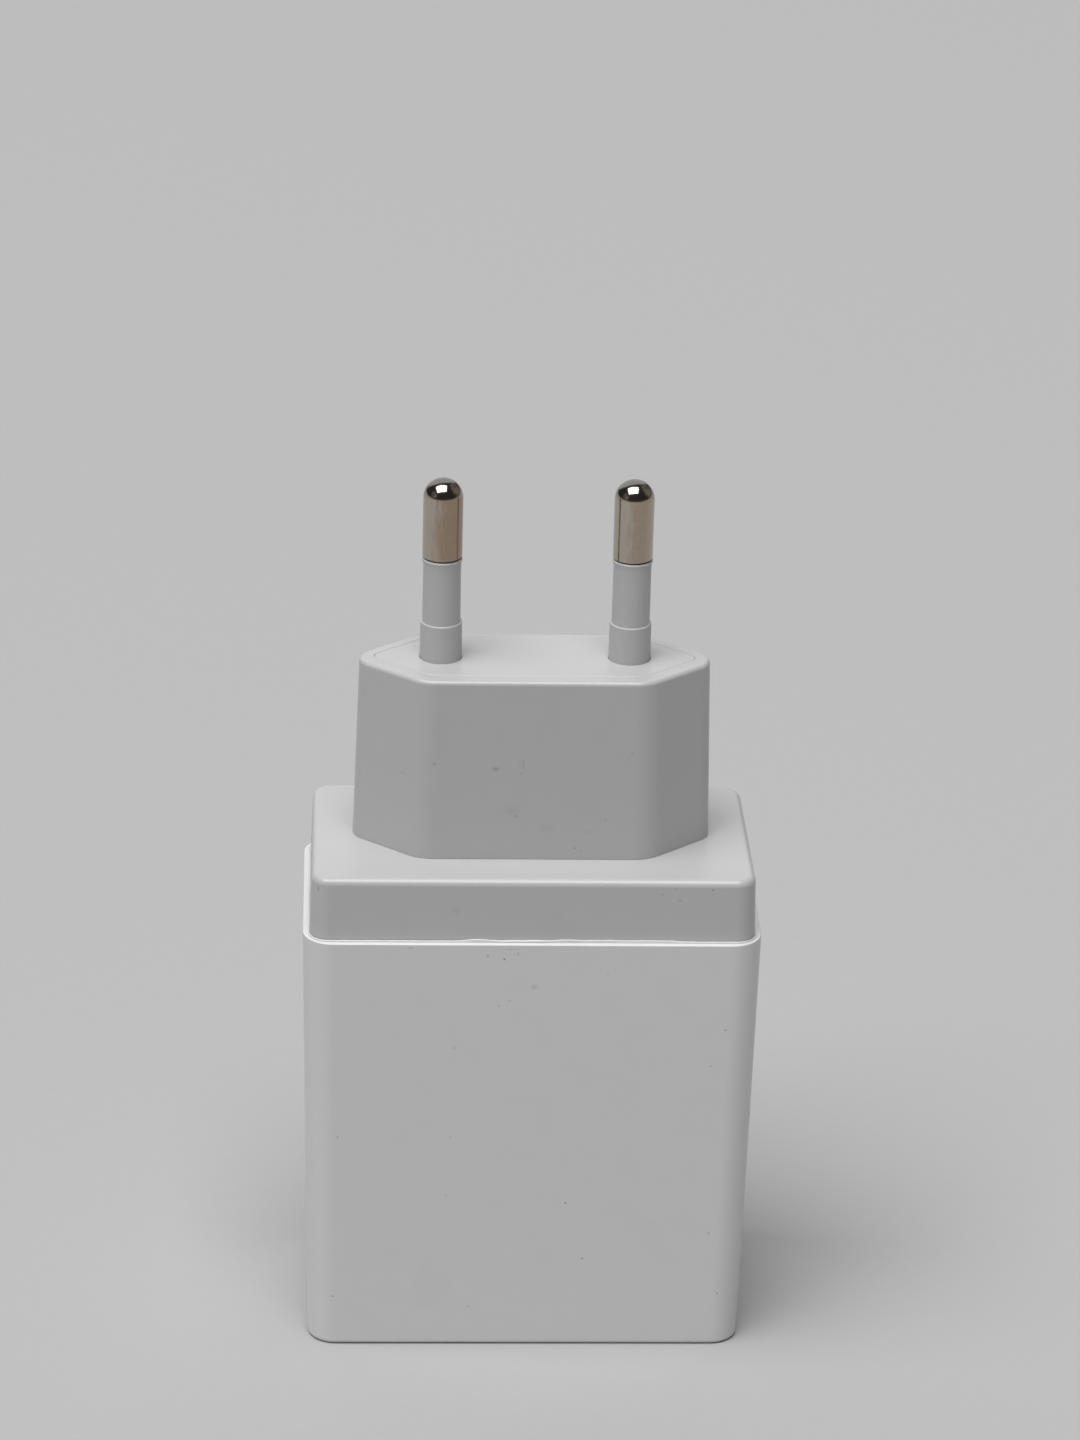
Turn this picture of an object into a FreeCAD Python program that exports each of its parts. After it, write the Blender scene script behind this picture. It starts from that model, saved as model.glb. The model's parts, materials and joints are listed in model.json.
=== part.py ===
import FreeCAD, Part
import math
import os

# A wall charger for phones and tablets: a two-pin European mains plug that stands on a welded
# two-piece housing, with three USB-A ports in the foot face.
# Frame: the origin is the centre of the foot face, X runs across the width, Y across the depth
# with the front at negative Y, and Z goes up through the plug pins. All lengths are in mm.

Vec = FreeCAD.Vector

# Housing sleeve: a box open at the top, a little wider at the rim than at the foot
foot_width = 45.1
foot_depth = 24.0
rim_width = 46.35
rim_depth = 25.3
sleeve_height = 46.8
sleeve_corner_radius = 3.0
sleeve_foot_edge = 0.4
sleeve_rim_edge = 0.12
wall = 1.8
foot_thickness = 2.0

# Top cover: a shallow step that carries the plug body and is welded inside the rim
rim_lip = 0.68
cover_height = 6.7
cover_draft = 0.2
cover_corner_radius = 2.0
cover_edge_radius = 0.7
cover_wall = 1.8
seam_gap = 0.12
seam_recess = 0.5
skirt_depth = 4.0
skirt_wall = 1.2
skirt_clearance = 0.1

# Plug body: a flat hexagon with rounded corners that narrows towards its face
plug_height = 19.3
plug_base_length = 36.4
plug_base_depth = 13.4
plug_face_length = 35.3
plug_face_depth = 12.9
plug_slant = math.radians(40)
plug_tip_radius = 2.5
plug_shoulder_radius = 4.0
plug_edge_radius = 0.45
plug_wall = 1.7
least_corner_radius = 0.3

# Pin carrier: a plate let into the plug face
plate_inset = 1.5
plate_rise = 0.1
plate_thickness = 2.2
plate_clearance = 0.03
plate_edge_radius = 0.08
ledge_width = 1.2
ledge_thickness = 1.5

# Mains pins and the insulating sleeves moulded round them
pin_spacing = 19.0
pin_diameter = 4.0
pin_length = 19.0
pin_core_diameter = 3.0
pin_flange_diameter = 5.2
pin_flange_thickness = 1.0
pin_tail_diameter = 2.0
pin_tail_length = 2.2
pin_sleeve_diameter = 3.84
pin_sleeve_length = 10.7
collar_diameter = 4.24
collar_height = 3.9
pin_sleeve_draft = 0.03
moulded_clearance = 0.02

# Input tabs: brass strips from the pin tails to the main board
tab_thickness = 0.5
tab_width = 3.2
tab_solder_length = 4.0
tab_bend_height = 3.0
tab_wall_clearance = 0.4

# USB-A receptacles
port_count = 3
port_pitch = 11.8
port_mouth_length = 12.5
port_mouth_height = 5.12
shell_sheet = 0.3
shell_depth = 13.7
shell_setback = 0.3
shell_corner_radius = 0.7
shell_leg_width = 1.6
shell_leg_spread = 6.2
shell_leg_poke = 0.8
spring_slot_width = 0.35
spring_tab_width = 2.0
spring_tab_length = 5.0
spring_tab_setback = 2.6
spring_tab_offset = 3.4
tongue_width = 11.1
tongue_thickness = 1.84
tongue_back_gap = 0.84
tongue_setback = 1.3
insulator_base = 4.2
insulator_clearance = 0.05
contact_width = 1.0
contact_thickness = 0.2
contact_offsets = (-3.5, -1.0, 1.0, 3.5)
contact_groove = 0.6
contact_groove_margin = 0.12
contact_bump = 0.35
contact_tip_setback = 0.75
contact_peak_setback = 2.3
window_clearance = 0.12
window_chamfer = 0.45

# Boards
board_thickness = 1.2
board_clearance = 0.3
board_corner_radius = 1.0
post_size = 2.6
rib_reach = 1.1
rib_thickness = 1.0
rib_clearance = 0.1
solder_side_room = 4.0
lead_diameter = 0.6
lead_poke = 0.9
lead_clearance = 0.08
part_gap = 0.8

# Header between the two boards
header_pin_count = 6
header_pitch = 2.54
header_pin_size = 0.64
header_strip_size = 2.5

# Transformer
core_length = 13.0
core_height = 14.5
core_depth = 5.0
core_outer_leg = 2.4
core_centre_leg = 4.4
core_yoke = 2.4
core_gap = 0.1
bobbin_wall = 0.5
bobbin_flange = 0.7
bobbin_flange_reach = 3.4
winding_build = 2.2
tape_thickness = 0.15
bobbin_foot_height = 2.4
bobbin_foot_width = 11.0
transformer_pin_count = 4
transformer_pin_pitch = 2.8

# Electrolytic capacitors: two for the mains side, two for the output side
bulk_diameter = 8.0
bulk_height = 13.0
output_diameter = 5.0
output_height = 9.0
capacitors_each = 2
bung_height = 1.4
bung_clearance = 0.05
can_wall = 0.35
can_edge_radius = 0.6
capacitor_lead_pitch = 2.5

# Other parts on the front of the main board
choke_diameter = 7.0
choke_hole = 3.4
choke_thickness = 4.0
choke_wire = 0.6
choke_turns = 12
choke_standoff = 1.0
choke_clearance = 0.06
film_box_length = 12.0
film_box_height = 4.5
film_box_depth = 9.0
film_lead_pitch = 10.0
fuse_diameter = 3.0
fuse_length = 6.0
fuse_cap_length = 1.2
fuse_standoff = 0.6
disc_diameter = 6.0
disc_thickness = 3.0
disc_lead_pitch = 4.0
opto_length = 4.6
opto_width = 6.4
opto_height = 3.4

# Parts on the solder side of the main board and on the port board
switch_length = 6.0
switch_width = 5.0
power_chip_height = 2.3
bridge_length = 6.5
bridge_width = 5.0
rectifier_length = 5.0
rectifier_width = 4.6
controller_length = 5.0
controller_width = 4.0
controller_height = 1.5
spreader_thickness = 0.6
sheet_thickness = 0.2
sheet_clearance = 0.15
charge_chip_length = 2.9
charge_chip_width = 1.7
charge_chip_height = 1.1

# Heights and places that follow from the sizes above
plug_base = sleeve_height + cover_height
plug_top = plug_base + plug_height
plate_top = plug_top + plate_rise
plate_bottom = plate_top - plate_thickness
ledge_bottom = plate_bottom - ledge_thickness
skirt_bottom = sleeve_height - skirt_depth
port_board_bottom = shell_setback + shell_depth
port_board_top = port_board_bottom + board_thickness
board_bottom = port_board_top
board_top = skirt_bottom - board_clearance
shell_length = port_mouth_length + 2 * shell_sheet
shell_height = port_mouth_height + 2 * shell_sheet
port_places = [(i - (port_count - 1) / 2) * port_pitch for i in range(port_count)]
pin_places = {"left": -pin_spacing / 2, "right": pin_spacing / 2}


# ---------------------------------------------------------------- shared shapes

def box(x_range, y_range, z_range):
    """A block between the given limits."""
    size = [high - low for low, high in (x_range, y_range, z_range)]
    return Part.makeBox(*size, Vec(x_range[0], y_range[0], z_range[0]))


def block(x, y, z, length, depth, height):
    """A block centred on x and y that stands on z."""
    return box((x - length / 2, x + length / 2), (y - depth / 2, y + depth / 2), (z, z + height))


def rod_up(x, y, z_range, diameter):
    """A round bar along Z."""
    return Part.makeCylinder(diameter / 2, z_range[1] - z_range[0], Vec(x, y, z_range[0]))


def cone_up(x, y, z_range, lower_diameter, upper_diameter):
    """A round bar along Z whose diameter changes evenly from end to end."""
    low, high = z_range
    return Part.makeCone(lower_diameter / 2, upper_diameter / 2, high - low, Vec(x, y, low))


def rod_deep(x, z, y_range, diameter):
    """A round bar along Y."""
    start = Vec(x, y_range[0], z)
    return Part.makeCylinder(diameter / 2, y_range[1] - y_range[0], start, Vec(0, 1, 0))


def rounded_outline(corners, radii, z):
    """A closed wire through the corners at height z, each rounded by its radius."""
    points = [Vec(x, y, z) for x, y in corners]
    edges = []
    ends = []
    for i, corner in enumerate(points):
        back = (points[i - 1] - corner).normalize()
        ahead = (points[(i + 1) % len(points)] - corner).normalize()
        half_angle = back.getAngle(ahead) / 2
        reach = radii[i] / math.tan(half_angle)
        middle = corner + (back + ahead).normalize() * (radii[i] / math.sin(half_angle) - radii[i])
        ends.append((corner + back * reach, middle, corner + ahead * reach))
    for i, (start, middle, end) in enumerate(ends):
        edges.append(Part.Arc(start, middle, end).toShape())
        edges.append(Part.LineSegment(end, ends[(i + 1) % len(ends)][0]).toShape())
    return Part.Wire(edges)


def rectangle_outline(width, depth, radius, z):
    """A rounded rectangle about the Z axis."""
    x = width / 2
    y = depth / 2
    return rounded_outline([(x, y), (-x, y), (-x, -y), (x, -y)], [radius] * 4, z)


def plug_outline(length, depth, inset, z):
    """The plug's rounded hexagon, moved inwards by inset."""
    tip = length / 2 + plug_tip_radius * (1 / math.sin(plug_slant) - 1) - inset / math.sin(plug_slant)
    side = depth / 2 - inset
    shoulder = tip - side / math.tan(plug_slant)
    corners = [(tip, 0), (shoulder, side), (-shoulder, side)]
    corners += [(-x, -y) for x, y in corners]
    tip_radius = max(plug_tip_radius - inset, least_corner_radius)
    shoulder_radius = max(plug_shoulder_radius - inset, least_corner_radius)
    return rounded_outline(corners, [tip_radius, shoulder_radius, shoulder_radius] * 2, z)


def tapered(lower, upper):
    """A solid with straight sides between two outlines."""
    return Part.makeLoft([lower, upper], True, True)


def upright(outline, height):
    """A solid with upright sides on an outline."""
    return Part.Face(outline).extrude(Vec(0, 0, height))


def round_level_edges(solid, z, radius):
    """Rounds the edges that lie wholly at height z."""
    near = 1e-4
    level = [e for e in solid.Edges if abs(e.BoundBox.ZMin - z) < near and abs(e.BoundBox.ZMax - z) < near]
    return solid.makeFillet(radius, level)


def strip_outline(points, thickness):
    """The two sides of a bent strip: its centre line moved half a thickness each way."""
    left = []
    right = []
    for i, point in enumerate(points):
        before = points[i - 1] if i else None
        after = points[i + 1] if i + 1 < len(points) else None
        way_in = (after - point if before is None else point - before).normalize()
        way_out = way_in if after is None else (after - point).normalize()
        along = (way_in + way_out).normalize()
        across = Vec(-along.y, along.x, 0) * (thickness / 2 / along.dot(way_in))
        left.append(point + across)
        right.append(point - across)
    return left + right[::-1]


def strip_in_depth(points, thickness, width, x):
    """A bent strip whose line is given as (y, z), centred on x."""
    flat = strip_outline([Vec(y, z, 0) for y, z in points], thickness)
    outline = [Vec(x - width / 2, p.x, p.y) for p in flat]
    return Part.Face(Part.makePolygon(outline + outline[:1])).extrude(Vec(width, 0, 0))


def strip_in_width(points, thickness, width, y):
    """A bent strip whose line is given as (x, z), centred on y."""
    flat = strip_outline([Vec(x, z, 0) for x, z in points], thickness)
    outline = [Vec(p.x, y - width / 2, p.y) for p in flat]
    return Part.Face(Part.makePolygon(outline + outline[:1])).extrude(Vec(0, width, 0))


def group(solids):
    """Several separate solids of one node."""
    return Part.makeCompound(list(solids))


# ---------------------------------------------------------------- housing

def sleeve_size(z, inset=0.0):
    """The sleeve's width and depth at height z, less an inset on every side."""
    rise = z / sleeve_height
    width = foot_width + (rim_width - foot_width) * rise
    depth = foot_depth + (rim_depth - foot_depth) * rise
    return width - 2 * inset, depth - 2 * inset


def sleeve_outline(z, inset=0.0):
    """The sleeve's outline at height z, moved inwards by inset."""
    radius = max(sleeve_corner_radius - inset, least_corner_radius)
    return rectangle_outline(*sleeve_size(z, inset), radius, z)


def cavity_size(z_low, z_high, clearance=0.0):
    """The width and depth that are free between the walls all the way between two heights."""
    ends = [sleeve_size(z, wall + clearance) for z in (z_low, z_high)]
    return min(width for width, depth in ends), min(depth for width, depth in ends)


# The boards take their places from the sleeve's inside
port_board_width, port_board_depth = cavity_size(port_board_bottom, port_board_top, board_clearance)
board_width = cavity_size(board_bottom, board_top, board_clearance)[0]
cavity_back = cavity_size(board_bottom, board_top)[1] / 2
board_back = cavity_back - solder_side_room
board_front = board_back - board_thickness


def window(x, margin, z_range):
    """The room of one port in the foot face, with a margin all round."""
    height = shell_height + 2 * margin
    length = shell_length + 2 * margin
    corner = shell_corner_radius + margin
    outline = rectangle_outline(height, length, corner, z_range[0])
    outline.translate(Vec(x, 0, 0))
    return upright(outline, z_range[1] - z_range[0])


def window_lead_in(x):
    """The chamfer round one port window, from the foot face inwards."""
    wide = window_clearance + window_chamfer
    outlines = []
    for margin, z in ((wide, 0.0), (window_clearance, window_chamfer)):
        size = (shell_height + 2 * margin, shell_length + 2 * margin, shell_corner_radius + margin)
        outline = rectangle_outline(*size, z)
        outline.translate(Vec(x, 0, 0))
        outlines.append(outline)
    return tapered(*outlines)


def board_ribs():
    """Two pairs of upright ribs that hold the main board's side edges."""
    inner = board_width / 2 - rib_reach
    outer = sleeve_size(sleeve_height, wall / 2)[0] / 2
    ribs = []
    for side in (-1, 1):
        x_range = sorted((side * inner, side * outer))
        for low in (board_front - rib_clearance - rib_thickness, board_back + rib_clearance):
            ribs.append(box(x_range, (low, low + rib_thickness), (board_bottom + board_clearance, board_top)))
    return ribs


def corner_posts():
    """Four posts on the foot that the port board rests on."""
    x_far, y_far = [size / 2 for size in sleeve_size(0, wall / 2)]
    x_near = port_board_width / 2 - post_size
    y_near = port_board_depth / 2 - post_size
    posts = []
    for x_side in (-1, 1):
        for y_side in (-1, 1):
            x_range = sorted((x_side * x_near, x_side * x_far))
            y_range = sorted((y_side * y_near, y_side * y_far))
            posts.append(box(x_range, y_range, (foot_thickness / 2, port_board_bottom)))
    return posts


def make_sleeve():
    """The main housing shell: tapered walls, a foot with the port windows, ribs and posts."""
    outside = tapered(sleeve_outline(0), sleeve_outline(sleeve_height))
    outside = round_level_edges(outside, 0, sleeve_foot_edge)
    outside = round_level_edges(outside, sleeve_height, sleeve_rim_edge)
    inside = tapered(sleeve_outline(foot_thickness, wall), sleeve_outline(sleeve_height, wall))
    half_wall = tapered(sleeve_outline(0, wall / 2), sleeve_outline(sleeve_height, wall / 2))
    fittings = board_ribs() + corner_posts()
    shell = outside.cut(inside).fuse([piece.common(half_wall) for piece in fittings])
    windows = [window(x, window_clearance, (0, foot_thickness)) for x in port_places]
    windows += [window_lead_in(x) for x in port_places]
    return shell.cut(windows).removeSplitter()


def cover_outline(z, inset=0.0):
    """The cover step's outline at height z, moved inwards by inset."""
    width, depth = sleeve_size(sleeve_height, rim_lip)
    taper = cover_draft * (z - sleeve_height) / cover_height
    radius = max(cover_corner_radius - inset, least_corner_radius)
    return rectangle_outline(width - 2 * (inset + taper), depth - 2 * (inset + taper), radius, z)


def make_cover():
    """The welded top cover and the hollow plug body, one moulding."""
    seam_top = sleeve_height + seam_gap
    step = tapered(cover_outline(seam_top), cover_outline(plug_base))
    step = round_level_edges(step, plug_base, cover_edge_radius)
    land = tapered(cover_outline(sleeve_height, seam_recess), cover_outline(seam_top, seam_recess))
    skirt_inset = wall + skirt_clearance
    skirt = tapered(sleeve_outline(skirt_bottom, skirt_inset), sleeve_outline(sleeve_height, skirt_inset))
    plug = tapered(plug_outline(plug_base_length, plug_base_depth, 0, plug_base),
                   plug_outline(plug_face_length, plug_face_depth, 0, plug_top))
    plug = round_level_edges(plug, plug_top, plug_edge_radius)
    outside = step.fuse([land, skirt, plug])

    roof_bottom = plug_base - cover_wall
    hollow_inset = skirt_inset + skirt_wall
    hollow = tapered(sleeve_outline(skirt_bottom, hollow_inset),
                     sleeve_outline(sleeve_height, hollow_inset))
    head = upright(sleeve_outline(sleeve_height, hollow_inset), roof_bottom - sleeve_height)
    plug_hollow = tapered(plug_outline(plug_base_length, plug_base_depth, plug_wall, roof_bottom),
                          plug_outline(plug_face_length, plug_face_depth, plug_wall, ledge_bottom))
    throat = upright(plug_outline(plug_face_length, plug_face_depth, plate_inset + ledge_width, ledge_bottom),
                     ledge_thickness)
    seat_inset = plate_inset - plate_clearance
    seat = upright(plug_outline(plug_face_length, plug_face_depth, seat_inset, plate_bottom), plate_thickness)
    return outside.cut([hollow, head, plug_hollow, throat, seat]).removeSplitter()


def make_plate():
    """The pin carrier that closes the plug face, with a bore for the root of each pin sleeve."""
    outline = plug_outline(plug_face_length, plug_face_depth, plate_inset, plate_bottom)
    plate = upright(outline, plate_thickness)
    plate = round_level_edges(plate, plate_top, plate_edge_radius)
    bore = collar_diameter + 2 * moulded_clearance
    return plate.cut([rod_up(x, 0, (plate_bottom, plate_top), bore) for x in pin_places.values()])


# ---------------------------------------------------------------- mains pins

def make_pin(x):
    """A solid pin: rounded tip, thinner core inside the sleeve, locking flange and tail."""
    pin_top = plate_top + pin_length
    shoulder = plate_top + pin_sleeve_length
    tip = rod_up(x, 0, (shoulder, pin_top - pin_diameter / 2), pin_diameter)
    dome = Part.makeSphere(pin_diameter / 2, Vec(x, 0, pin_top - pin_diameter / 2))
    core = rod_up(x, 0, (plate_bottom, shoulder), pin_core_diameter)
    flange_bottom = plate_bottom - pin_flange_thickness
    flange = rod_up(x, 0, (flange_bottom, plate_bottom), pin_flange_diameter)
    tail = rod_up(x, 0, (flange_bottom - pin_tail_length, flange_bottom), pin_tail_diameter)
    return tip.fuse([dome, core, flange, tail]).removeSplitter()


def make_pin_sleeve(x):
    """The insulating sleeve on a pin: a root in the plate, a thicker collar, then a thin tube.

    Collar and tube each narrow a little upwards, so that they leave their mould.
    """
    collar_top = plate_top + collar_height
    tube_top = plate_top + pin_sleeve_length
    root = rod_up(x, 0, (plate_bottom, plate_top), collar_diameter)
    collar = cone_up(x, 0, (plate_top, collar_top), collar_diameter, collar_diameter - 2 * pin_sleeve_draft)
    tube = cone_up(x, 0, (collar_top, tube_top), pin_sleeve_diameter,
                   pin_sleeve_diameter - 2 * pin_sleeve_draft)
    bore = pin_core_diameter + 2 * moulded_clearance
    return root.fuse([collar, tube]).cut(rod_up(x, 0, (plate_bottom, tube_top), bore))


def make_input_tab(x):
    """A brass strip that hangs from a pin tail and is soldered to the front of the main board."""
    tail_bottom = plate_bottom - pin_flange_thickness - pin_tail_length
    top = tail_bottom + pin_tail_length / 2
    plug_room = min(plug_base_depth, plug_face_depth) / 2 - plug_wall
    upright_y = plug_room - tab_wall_clearance - tab_thickness / 2
    solder_y = board_front - tab_thickness / 2
    points = [(-tab_width / 2, top), (upright_y, top), (upright_y, sleeve_height + tab_bend_height)]
    points += [(solder_y, sleeve_height), (solder_y, board_top - tab_solder_length)]
    strip = strip_in_depth(points, tab_thickness, tab_width, x)
    hole = pin_tail_diameter + 2 * moulded_clearance
    return strip.cut(rod_up(x, 0, (tail_bottom, plate_bottom), hole))


# ---------------------------------------------------------------- USB-A receptacles

tongue_low = -port_mouth_height / 2 + tongue_back_gap
tongue_high = tongue_low + tongue_thickness
tongue_start = shell_setback + tongue_setback
base_start = port_board_bottom - insulator_base


def shell_legs(x, margin=0.0):
    """The four legs of one shell, which pass through the port board."""
    legs = []
    z_range = (port_board_bottom, port_board_top + shell_leg_poke)
    for x_side in (-1, 1):
        near = x_side * (shell_height / 2 - shell_sheet)
        far = x_side * shell_height / 2
        x_range = sorted((x + near - x_side * margin, x + far + x_side * margin))
        for y_side in (-1, 1):
            y = y_side * shell_leg_spread / 2
            half = shell_leg_width / 2 + margin
            legs.append(box(x_range, (y - half, y + half), z_range))
    return legs


def spring_slots(x):
    """U-shaped cuts that free two spring fingers in each wide face of a shell."""
    cuts = []
    start = shell_setback + spring_tab_setback
    for side in (-1, 1):
        x_range = sorted((x + side * port_mouth_height / 2, x + side * shell_height / 2))
        for y in (-spring_tab_offset, spring_tab_offset):
            half = spring_tab_width / 2
            z_range = (start, start + spring_tab_length)
            cuts.append(box(x_range, (y - half - spring_slot_width, y - half), z_range))
            cuts.append(box(x_range, (y + half, y + half + spring_slot_width), z_range))
            foot = (start - spring_slot_width, start)
            cuts.append(box(x_range, (y - half - spring_slot_width, y + half + spring_slot_width), foot))
    return cuts


def make_shell(x):
    """The sheet-steel shell of one receptacle."""
    inner_radius = max(shell_corner_radius - shell_sheet, least_corner_radius)
    outer = rectangle_outline(shell_height, shell_length, shell_corner_radius, shell_setback)
    inner = rectangle_outline(port_mouth_height, port_mouth_length, inner_radius, shell_setback)
    tube = upright(outer, shell_depth).cut(upright(inner, shell_depth))
    tube.translate(Vec(x, 0, 0))
    return tube.cut(spring_slots(x)).fuse(shell_legs(x)).removeSplitter()


def contact_line(x):
    """The centre line of a spring contact: hooked tip, bump on the tongue face, tail in the board."""
    rest = x + tongue_high - contact_groove / 2
    peak = x + tongue_high + contact_bump
    points = [(rest, tongue_start + contact_tip_setback), (peak, tongue_start + contact_peak_setback)]
    points += [(rest, base_start - contact_groove), (rest, port_board_top + lead_poke)]
    return points


def make_contacts(x):
    """The four spring contacts of one receptacle."""
    line = contact_line(x)
    return group(strip_in_width(line, contact_thickness, contact_width, y) for y in contact_offsets)


def make_insulator(x):
    """The moulded base and tongue of one receptacle, grooved for its contacts."""
    length = port_mouth_length - 2 * insulator_clearance
    height = port_mouth_height - 2 * insulator_clearance
    corner = max(shell_corner_radius - shell_sheet, least_corner_radius)
    base = upright(rectangle_outline(height, length, corner, base_start), insulator_base)
    base.translate(Vec(x, 0, 0))
    tongue = block(x + (tongue_low + tongue_high) / 2, 0, tongue_start, tongue_thickness, tongue_width,
                   base_start - tongue_start)
    body = base.fuse(tongue).removeSplitter()
    cuts = []
    rest = x + tongue_high - contact_groove / 2
    groove_width = contact_width + 2 * contact_groove_margin
    slot = contact_thickness + 2 * insulator_clearance
    for y in contact_offsets:
        groove_start = tongue_start + contact_groove
        groove_x = (x + tongue_high - contact_groove, x + tongue_high)
        cuts.append(box(groove_x, (y - groove_width / 2, y + groove_width / 2), (groove_start, base_start)))
        cuts.append(block(rest, y, base_start, slot, groove_width, insulator_base))
    return body.cut(cuts)


# ---------------------------------------------------------------- boards

board_lead_holes = []


def leads(places, reach):
    """Round leads at (x, z) that cross the main board and stand out at its front by reach."""
    wires = []
    for x, z in places:
        wires.append(rod_deep(x, z, (board_front - reach, board_back + lead_poke), lead_diameter))
        board_lead_holes.append((x, z))
    return wires


def make_main_board():
    """The upright main board, drilled for every lead."""
    slab = box((-board_width / 2, board_width / 2), (board_front, board_back), (board_bottom, board_top))
    hole = lead_diameter + 2 * lead_clearance
    drilled = [rod_deep(x, z, (board_front, board_back), hole) for x, z in board_lead_holes]
    square = header_pin_size + 2 * lead_clearance
    for x in header_places:
        drilled.append(box((x - square / 2, x + square / 2), (board_front, board_back),
                           (header_z - square / 2, header_z + square / 2)))
    return slab.cut(drilled)


def make_port_board():
    """The level port board on the corner posts, slotted for the shell legs, contacts and header."""
    outline = rectangle_outline(port_board_width, port_board_depth, board_corner_radius, port_board_bottom)
    slab = upright(outline, board_thickness)
    cuts = []
    hole = contact_width + 2 * lead_clearance
    for x in port_places:
        cuts += shell_legs(x, lead_clearance)
        rest = x + tongue_high - contact_groove / 2
        for y in contact_offsets:
            cuts.append(block(rest, y, port_board_bottom, hole / 2, hole, board_thickness))
    square = header_pin_size + 2 * lead_clearance
    for x in header_places:
        cuts.append(block(x, header_y, port_board_bottom, square, square, board_thickness))
    return slab.cut(cuts)


header_places = [(i - (header_pin_count - 1) / 2) * header_pitch for i in range(header_pin_count)]
header_y = board_back + header_strip_size / 2
header_z = board_bottom + header_strip_size / 2


def make_header_pins():
    """Right-angle pins that join the two boards."""
    down = port_board_bottom - lead_poke
    line = [(board_front - lead_poke, header_z), (header_y, header_z), (header_y, down)]
    return group(strip_in_depth(line, header_pin_size, header_pin_size, x) for x in header_places)


def make_header_strip():
    """The moulded strip that holds the header pins."""
    length = header_pin_count * header_pitch
    strip = box((-length / 2, length / 2), (board_back, board_back + header_strip_size),
                (port_board_top, port_board_top + header_strip_size))
    room = header_pin_size / 2 + insulator_clearance
    cuts = []
    for x in header_places:
        sides = (x - room, x + room)
        cuts.append(box(sides, (board_back, header_y + room), (header_z - room, header_z + room)))
        cuts.append(box(sides, (header_y - room, header_y + room), (port_board_top, header_z)))
    return strip.cut(cuts)


# ---------------------------------------------------------------- transformer

parts_edge = board_width / 2 - rib_reach - part_gap
parts_foot = board_bottom + lead_poke + part_gap
left_column_edge = -parts_edge + bulk_diameter
transformer_x = left_column_edge + part_gap + tape_thickness + core_length / 2
transformer_z = parts_foot + tape_thickness + core_height / 2
winding_reach = core_depth / 2 + bobbin_wall + winding_build
transformer_y = board_front - bobbin_foot_height - winding_reach


def around_leg(x_range, y_reach, z_reach):
    """A block about the transformer's centre leg."""
    x_pair = (transformer_x + x_range[0], transformer_x + x_range[1])
    y_pair = (transformer_y - y_reach, transformer_y + y_reach)
    return box(x_pair, y_pair, (transformer_z - z_reach, transformer_z + z_reach))


def make_core_half(side):
    """One E-shaped ferrite half, on the given side of the joint plane."""
    yoke_start = core_length / 2 - core_yoke
    half_height = core_height / 2
    yoke = around_leg(sorted((side * yoke_start, side * core_length / 2)), core_depth / 2, half_height)
    reach = sorted((side * core_gap / 2, side * yoke_start))
    legs = around_leg(reach, core_depth / 2, half_height)
    windows = around_leg(reach, core_depth / 2, half_height - core_outer_leg)
    centre = around_leg(reach, core_depth / 2, core_centre_leg / 2)
    return yoke.fuse([legs.cut(windows), centre]).removeSplitter()


bobbin_half = core_length / 2 - core_yoke - bobbin_wall / 2
leg_y = core_depth / 2 + insulator_clearance
leg_z = core_centre_leg / 2 + insulator_clearance
window_z = core_height / 2 - core_outer_leg - insulator_clearance
bobbin_rows = [side * (bobbin_half - bobbin_flange / 2) for side in (-1, 1)]
bobbin_pins = []
for pin in range(transformer_pin_count):
    pin_z = transformer_z + (pin - (transformer_pin_count - 1) / 2) * transformer_pin_pitch
    bobbin_pins += [(transformer_x + row, pin_z) for row in bobbin_rows]


def make_bobbin():
    """The moulded bobbin: a square tube, two flanges and two feet that carry the pins."""
    half = bobbin_half
    pieces = [around_leg((-half, half), leg_y + bobbin_wall, leg_z + bobbin_wall)]
    for side in (-1, 1):
        span = sorted((side * (half - bobbin_flange), side * half))
        pieces.append(around_leg(span, core_depth / 2 + bobbin_flange_reach, window_z))
        foot_z = (transformer_z - bobbin_foot_width / 2, transformer_z + bobbin_foot_width / 2)
        foot_y = (transformer_y + core_depth / 2 + insulator_clearance, board_front)
        foot_x = (transformer_x + span[0], transformer_x + span[1])
        pieces.append(box(foot_x, foot_y, foot_z))
    bore = around_leg((-half, half), leg_y, leg_z)
    bobbin = pieces[0].fuse(pieces[1:]).removeSplitter().cut(bore)
    hole = lead_diameter + 2 * moulded_clearance
    return bobbin.cut([rod_deep(x, z, (board_front - bobbin_foot_height, board_front), hole)
                       for x, z in bobbin_pins])


def make_winding():
    """The wound copper between the bobbin's flanges."""
    span = (-bobbin_half + bobbin_flange, bobbin_half - bobbin_flange)
    inner_y = leg_y + bobbin_wall
    inner_z = leg_z + bobbin_wall
    outer = around_leg(span, inner_y + winding_build, min(inner_z + winding_build, window_z))
    return outer.cut(around_leg(span, inner_y, inner_z))


def make_tape():
    """The tape round the outside of both core halves."""
    half_length = core_length / 2
    half_height = core_height / 2
    outer = around_leg((-half_length - tape_thickness, half_length + tape_thickness), core_depth / 2,
                       half_height + tape_thickness)
    return outer.cut(around_leg((-half_length, half_length), core_depth / 2, half_height))


# ---------------------------------------------------------------- capacitors, choke and fuse

def capacitor_places(side, diameter):
    """Centres of one column of capacitors, stacked up from the board's lower edge."""
    x = side * (parts_edge - diameter / 2)
    first = parts_foot + diameter / 2
    return [(x, first + i * (diameter + part_gap)) for i in range(capacitors_each)]


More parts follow.
